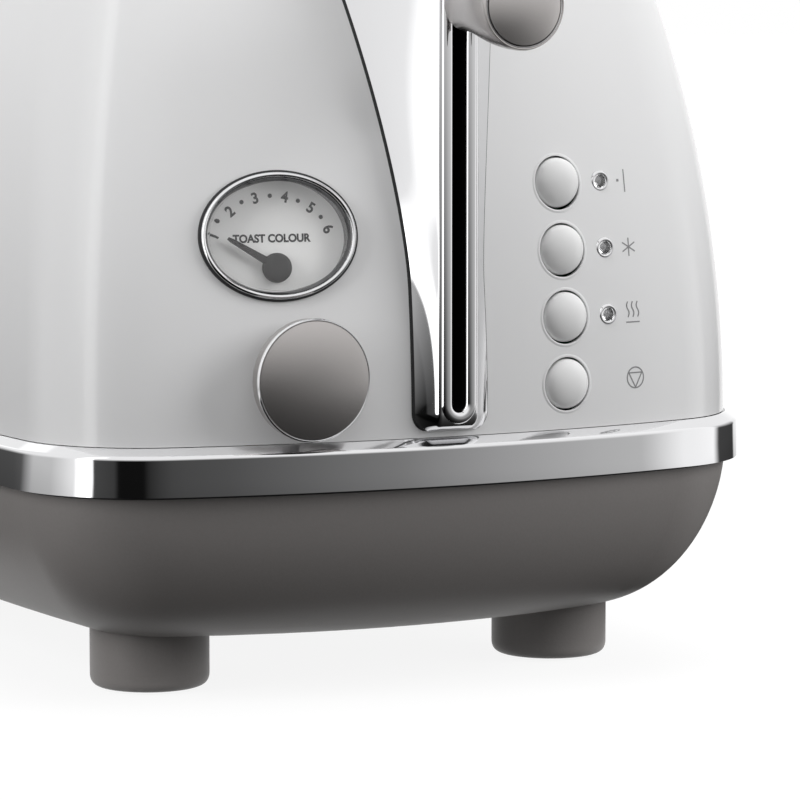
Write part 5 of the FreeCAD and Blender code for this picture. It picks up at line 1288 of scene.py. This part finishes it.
class TOASTER_OT_lamps(bpy.types.Operator):
    """Set out the three indicator lamps: a bright ring with a clear dome in each"""
    bl_idname = "toaster.lamps"
    bl_label = "Lamps"

    def execute(self, context):
        deep, back = 3.4, 0.5
        rings = self.row("lamp_bezels", [(-0.45, 1.6, 0.25), (-0.6, 2.1, 0.35), (0.05, 2.62, 0.35),
                                         (0.3, 2.2, 0.1), (deep, 2.2, 0.1), (deep, 1.6, 0.1)],
                         40, 5, "bright_chrome")
        seat(rings, "root", "bright_chrome", "lamp_rings")
        # The cups are satin chrome darkened: painted shade inside each lamp.
        cups = self.row("lamp_cups", [(1.7, 0.0, 0), (1.2, 0.8, 0.4), (0.5, 1.35, 0.3), (0.3, 1.58, 0.1),
                                      (2.4, 1.58, 0.1), (2.4, 0.0, 0)], 32, 4, "dark_satin")
        seat(cups, "root", "satin_chrome", material="dark_satin")
        domes = self.row("lamp_domes", [(-0.85, 0.0, 0), (-0.72, 0.7, 1), (-0.3, 1.35, 0.6), (0.2, 1.55, 0.2),
                                        (back, 1.55, 0.1), (back, 0.0, 0)], 36, 5, "clear_lens")
        domes.visible_shadow = domes.visible_diffuse = False
        seat(domes, "root", "clear_lens", "lamp_lenses")
        return {"FINISHED"}

    def row(self, name, profile, segments, steps, material):
        """One turned piece set out at all the lamps."""
        pattern = lathe(name + "_pattern", profile, 0.0, 0.0, segments=segments, steps=steps)
        pattern.data.transform(Matrix.Translation((0, -BACK_SHIFT * MM, 0)))
        return set_out(name, pattern, LAMP_PLACES, material)


class TOASTER_OT_signs(bpy.types.Operator):
    """Print the four signs beside the lamps on the paint"""
    bl_idname = "toaster.signs"
    bl_label = "Signs"
    thick = 0.16

    def execute(self, context):
        x, top = 50.9, 119.1
        strokes = []
        strokes.append(([(x + 0.15, top + 2.6), (x + 0.15, top - 2.6)], self.thick))
        strokes.append(([(x - 2.1, top + 0.1), (x - 1.5, top + 0.1)], 0.3))
        for turn in (90, 30, 150):
            dx, dz = 2.1 * math.cos(math.radians(turn)), 2.1 * math.sin(math.radians(turn))
            strokes.append(([(x - dx, 103.6 - dz), (x + dx, 103.6 + dz)], self.thick))
        for number in (-1, 0, 1):
            wave = [(x + 0.3 + number * 1.45 + 0.33 * math.sin(math.tau * n / 16), 87.2 + 3.6 * n / 16)
                    for n in range(17)]
            strokes.append((wave, self.thick))
        strokes.append(([(x - 1.75, 86.0), (x + 2.25, 86.0)], self.thick))
        middle = 72.9
        turns = [math.tau * n / 32 for n in range(33)]
        strokes.append(([(x + 0.6 + 2.45 * math.cos(turn), middle + 2.45 * math.sin(turn)) for turn in turns],
                        self.thick))
        corners = [(x + 0.6 - 1.95, middle + 1.15), (x + 0.6 + 1.95, middle + 1.15), (x + 0.6, middle - 2.3),
                   (x + 0.6 - 1.95, middle + 1.15)]
        strokes.append((corners, self.thick))
        signs = self.print_on_shell("printed_signs", strokes)
        seat(signs, "root", "black_enamel", material="sign")
        return {"FINISHED"}

    def print_on_shell(self, name, strokes):
        """Thin raised strokes that follow the front of the shell."""
        points, faces = [], []
        for line, half in strokes:
            for start, end in zip(line, line[1:]):
                start, end = Vector(start), Vector(end)
                along = (end - start).normalized()
                side = Vector((-along.y, along.x)) * half
                pieces = max(1, int((end - start).length / 0.8))
                for n in range(pieces):
                    first = start.lerp(end, n / pieces) - along * (0.04 if n == 0 else 0.0)
                    last = start.lerp(end, (n + 1) / pieces) + along * (0.04 if n == pieces - 1 else 0.0)
                    low = len(points)
                    for lift in (-0.03, 0.05):
                        for spot in (first + side, first - side, last - side, last + side):
                            points.append((spot.x, shell_face(spot.x, spot.y) + lift, spot.y))
                    faces += [tuple(low + n for n in face) for face in ring_faces(2, 4)]
        return outward(mesh_object(name, points, faces))


class TOASTER_OT_feet(bpy.types.Operator):
    """Turn the four feet"""
    bl_idname = "toaster.feet"
    bl_label = "Feet"

    def execute(self, context):
        for name in ("front_left", "front_right", "rear_left", "rear_right"):
            low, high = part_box("foot_" + name)
            middle = (low + high) / 2 / MM
            radius = (high.x - low.x) / 2 / MM
            foot_low, foot_high = low.z / MM, high.z / MM + 1.2
            profile = rounded([(foot_low, 8.1, 0.1), (foot_low, radius, 4.4), (foot_high, radius, 0.1),
                               (foot_high, 8.1, 0.1)], 9)
            segments = 96
            points = []
            place = (middle.x, middle.y - BACK_SHIFT)
            for z, reach in profile:
                points += [(x, y, z) for x, y in oval(reach, reach, place, segments)]
            faces = ring_faces(len(profile), segments, wrap=True)
            foot = outward(mesh_object("foot_skin_" + name, points, faces))
            seat(soften(foot), "root", "grey_plastic")
        return {"FINISHED"}


class TOASTER_OT_kept_nodes(bpy.types.Operator):
    """Give every CAD piece that still shows its finish"""
    bl_idname = "toaster.kept_nodes"
    bl_label = "Inner works and base"

    def execute(self, context):
        for name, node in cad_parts.items():
            if node.hide_render:
                continue
            if name not in KEPT_FINISHES:
                raise RuntimeError(f"{name} has no finish")
            while len(node.data.materials) > 1:
                node.data.materials.pop()
            if node.data.materials:
                node.data.materials[0] = FINISHES[KEPT_FINISHES[name]]
            else:
                node.data.materials.append(FINISHES[KEPT_FINISHES[name]])
        return {"FINISHED"}


NODES_BY_FINISH = {
    "grey_plastic": ("base_tray", "foot_front_left", "foot_front_right", "foot_rear_left", "foot_rear_right",
                     "crumb_handle"),
    "plain_steel": ("front_end_plate", "rear_end_plate", "carriage", "lever_arm", "guide_rods", "armature",
                    "knob_shaft", "foot_screws", "crumb_tray"),
    "bright_reflector": ("reflector_left", "reflector_right"),
    "mica": ("heater_card_left", "heater_card_centre", "heater_card_right"),
    "rack_wire": ("bread_guard_left_inner", "bread_guard_left_outer", "bread_guard_right_inner",
                  "bread_guard_right_outer", "bread_rack_left", "bread_rack_right"),
    "gear_plastic": ("knob_gear", "idler_gear", "pointer_gear"),
    "component_black": ("gear_bracket", "board_bracket", "potentiometer", "button_switches"),
    "black_rubber": ("foot_pads", "cord_gland"),
    "heating_alloy": ("heating_ribbons",),
    "spring_steel": ("lift_spring",),
    "magnet_coil": ("electromagnet",),
    "circuit_board": ("control_board",),
    "lamp_light": ("indicator_lights",),
}
KEPT_FINISHES = {node: slot for slot, nodes in NODES_BY_FINISH.items() for node in nodes}


CAMERA_PLACE = (-0.4169, -0.94275, 0.1671)
CAMERA_TURN, CAMERA_DIP = 26.22, 6.0     # degrees from +Y towards +X, and down


class TOASTER_OT_stage(bpy.types.Operator):
    """Set the floor, the camera, the lamps and the studio's panels"""
    bl_idname = "toaster.stage"
    bl_label = "Stage"

    def execute(self, context):
        scene = context.scene
        scene.view_settings.view_transform = "Standard"
        self.camera(scene)
        self.floor()
        self.sky(scene)
        self.lamps()
        self.ring()
        return {"FINISHED"}

    def camera(self, scene):
        data = bpy.data.cameras.new("view")
        data.sensor_width = 36.0
        data.lens = settings().stage.lens
        data.clip_start, data.clip_end = 0.05, 50.0
        camera = new_object("view", data)
        camera.location = CAMERA_PLACE
        turn, dip = math.radians(CAMERA_TURN), math.radians(CAMERA_DIP)
        ahead = Vector((math.sin(turn) * math.cos(dip), math.cos(turn) * math.cos(dip), -math.sin(dip)))
        camera.rotation_euler = ahead.to_track_quat("-Z", "Y").to_euler()
        scene.camera = camera

    def seen(self, tree):
        """One for the eye, mirrors and glass, and nothing for diffuse light."""
        path = tree.nodes.new("ShaderNodeLightPath")
        eye = maths(tree, "MAXIMUM", path.outputs["Is Camera Ray"], path.outputs["Is Glossy Ray"])
        return maths(tree, "MAXIMUM", eye, path.outputs["Is Transmission Ray"])

    def distance(self, tree, split):
        """Distance from the middle of the floor."""
        squares = [maths(tree, "POWER", split.outputs[axis], 2.0) for axis in "XY"]
        return maths(tree, "SQRT", maths(tree, "ADD", *squares))

    def see_white(self, tree, shader, light):
        """Add a white glow that only the eye, mirrors and glass see."""
        glow = tree.nodes.new("ShaderNodeEmission")
        tree.links.new(maths(tree, "MULTIPLY", self.seen(tree), light), glow.inputs["Strength"])
        add = tree.nodes.new("ShaderNodeAddShader")
        tree.links.new(shader, add.inputs[0])
        tree.links.new(glow.outputs[0], add.inputs[1])
        return add.outputs[0]

    def floor(self):
        mesh = bpy.data.meshes.new("floor")
        reach = 9.0
        mesh.from_pydata([(-reach, -reach, 0), (reach, -reach, 0), (reach, reach, 0), (-reach, reach, 0)], [],
                         [(0, 1, 2, 3)])
        floor = new_object("floor", mesh)
        material = bpy.data.materials.new("Studio floor")
        material.use_nodes = True
        tree = material.node_tree
        surface = tree.nodes["Principled BSDF"]
        surface.inputs["Roughness"].default_value = 0.9
        surface.inputs["Specular IOR Level"].default_value = 0.0
        place = tree.nodes.new("ShaderNodeTexCoord").outputs["Object"]
        mottle = place_group(tree, "grain", place, Scale=40.0, Waviness=0.2)
        shade = maths(tree, "MULTIPLY_ADD", mottle.outputs["Speckle"], 0.01, 0.12)
        tree.links.new(shade, surface.inputs["Base Color"])
        split = tree.nodes.new("ShaderNodeSeparateXYZ")
        tree.links.new(place, split.inputs[0])
        spread = tree.nodes.new("ShaderNodeMapRange")
        for label, value in (("From Min", 0.35), ("From Max", 1.1), ("To Min", 0.89), ("To Max", 1.0)):
            spread.inputs[label].default_value = value
        tree.links.new(self.distance(tree, split), spread.inputs["Value"])
        lit = self.see_white(tree, surface.outputs[0], spread.outputs["Result"])
        tree.links.new(lit, tree.nodes["Material Output"].inputs["Surface"])
        mesh.materials.append(material)

    def sky(self, scene):
        world = bpy.data.worlds.new("studio")
        scene.world = world
        world.use_nodes = True
        tree = world.node_tree
        background = tree.nodes["Background"]
        background.inputs["Color"].default_value = (1.0, 1.0, 1.0, 1.0)
        plain = settings().stage.sky
        level = maths(tree, "MULTIPLY_ADD", self.seen(tree), 1.0 - plain, plain)
        tree.links.new(level, background.inputs["Strength"])

    def lamps(self):
        stage = settings().stage
        for name, power, size, place, aim in (
                ("key", stage.key, (0.5, 1.3), (-1.75, -0.35, 0.85), (-0.05, 0.0, 0.11)),
                ("top", stage.top, (1.5, 1.5), (-0.1, -0.25, 1.7), (0.0, 0.0, 0.1)),
                ("fill", stage.fill, (0.8, 1.2), (1.45, -1.1, 0.9), (0.0, -0.05, 0.1)),
                ("back", stage.fill, (1.0, 1.0), (0.5, 1.7, 1.1), (0.0, 0.0, 0.1))):
            data = bpy.data.lights.new(name, "AREA")
            data.shape = "RECTANGLE"
            data.size, data.size_y = size
            data.energy = power
            lamp = new_object(name, data)
            lamp.visible_glossy = False
            lamp.location = place
            lamp.rotation_euler = (Vector(aim) - Vector(place)).to_track_quat("-Z", "Y").to_euler()

    def ring(self):
        """Dark and light panels all round on a low wall and its foot, which only mirrors see."""
        count, points = 180, []
        for reach, height in ((0.11, 0.001), (0.34, 0.001), (0.56, 0.001), (0.56, 0.30), (0.56, 0.48),
                              (0.56, 0.85)):
            points += [(x, y, height) for x, y in oval(reach, reach, count=count)]
        mesh = bpy.data.meshes.new("studio_ring")
        mesh.from_pydata(points, [], ring_faces(6, count, False, False))
        ring = new_object("studio_ring", mesh)
        material = bpy.data.materials.new("Studio panels")
        material.use_nodes = True
        tree = material.node_tree
        tree.nodes.remove(tree.nodes["Principled BSDF"])
        split = tree.nodes.new("ShaderNodeSeparateXYZ")
        tree.links.new(tree.nodes.new("ShaderNodeTexCoord").outputs["Object"], split.inputs[0])
        turn = maths(tree, "ARCTAN2", split.outputs["Y"], split.outputs["X"])
        share = maths(tree, "MULTIPLY_ADD", turn, 1 / math.tau, 0.5)
        panels = tree.nodes.new("ShaderNodeValToRGB")
        ramp = panels.color_ramp
        tree.links.new(share, panels.inputs["Fac"])
        while len(ramp.elements) > 1:
            ramp.elements.remove(ramp.elements[-1])
        for number, (degrees, level) in enumerate(PANELS):
            spot = (degrees + 180) / 360
            stop = ramp.elements[0] if number == 0 else ramp.elements.new(spot)
            stop.position = spot
            stop.color = (*[level / BRIGHTEST] * 3, 1.0)
        dim = maths(tree, "MULTIPLY", maths(tree, "SUBTRACT", self.distance(tree, split), 0.1), 2.25)
        dim = maths(tree, "MINIMUM", maths(tree, "MAXIMUM", dim, 0.02), 1.0)
        low = maths(tree, "MULTIPLY", maths(tree, "MULTIPLY", panels.outputs["Color"], BRIGHTEST), dim)
        high = maths(tree, "MAXIMUM", low, 1.0)
        rise = tree.nodes.new("ShaderNodeMapRange")
        rise.inputs["From Min"].default_value, rise.inputs["From Max"].default_value = 0.02, 0.26
        tree.links.new(split.outputs["Z"], rise.inputs["Value"])
        over = maths(tree, "MULTIPLY", maths(tree, "SUBTRACT", high, low), rise.outputs["Result"])
        glow = tree.nodes.new("ShaderNodeEmission")
        tree.links.new(maths(tree, "ADD", low, over), glow.inputs["Strength"])
        tree.links.new(glow.outputs[0], tree.nodes["Material Output"].inputs["Surface"])
        mesh.materials.append(material)
        ring.visible_camera = ring.visible_diffuse = ring.visible_shadow = False
        ring.visible_transmission = False


BRIGHTEST = 3.0      # a colour ramp holds at most 1, so its levels are kept as shares of this

# Brightness of the studio's panels by direction from the toaster, in degrees from +X.
PANELS = ((-180, 0.62), (-171, 0.78), (-161, 1.0), (-157, 2.6), (-150, 2.6), (-148, 0.07), (-135, 0.05),
          (-132, 0.006), (-117, 0.006), (-113, 0.03), (-94, 0.09), (-86, 0.14), (-75, 0.22), (-64, 0.37),
          (-52, 0.5), (-46, 0.55), (-41, 1.05), (-18, 1.15), (-11, 0.06), (16, 0.05), (20, 0.9), (44, 1.2),
          (48, 0.02), (66, 0.03), (70, 0.12), (100, 0.5), (106, 1.3), (116, 1.3), (119, 0.06), (148, 0.12),
          (162, 0.62))


# ---------------------------------------------------------------- panel and registration

PIECES = (TOASTER_OT_materials, TOASTER_OT_shell, TOASTER_OT_top_cover, TOASTER_OT_band, TOASTER_OT_fin,
          TOASTER_OT_lever, TOASTER_OT_browning_knob, TOASTER_OT_gauge, TOASTER_OT_buttons, TOASTER_OT_lamps,
          TOASTER_OT_signs, TOASTER_OT_feet, TOASTER_OT_kept_nodes, TOASTER_OT_stage)


class TOASTER_PT_pieces(bpy.types.Panel):
    """Lists the pieces, in the order in which they are made"""
    bl_idname = "TOASTER_PT_pieces"
    bl_label = "Toaster"
    bl_space_type = "VIEW_3D"
    bl_region_type = "UI"
    bl_category = "Toaster"

    def draw(self, context):
        layout = self.layout
        toaster = context.scene.toaster
        for group in (toaster.body, toaster.fin, toaster.finish, toaster.stage):
            box = layout.box()
            for name in group.bl_rna.properties.keys():
                if name not in ("rna_type", "name"):
                    box.prop(group, name)
        for piece in PIECES:
            layout.operator(piece.bl_idname)


CLASSES = (ToasterBody, ToasterFin, ToasterFinish, ToasterStage, ToasterSettings, *PIECES, TOASTER_PT_pieces)


def register():
    for made in CLASSES:
        bpy.utils.register_class(made)
    bpy.types.Scene.toaster = PointerProperty(type=ToasterSettings)


def unregister():
    del bpy.types.Scene.toaster
    for made in reversed(CLASSES):
        bpy.utils.unregister_class(made)


def main():
    register()
    for piece in PIECES:
        group, name = piece.bl_idname.split(".")
        getattr(getattr(bpy.ops, group), name)()


if __name__ == "__main__":
    main()
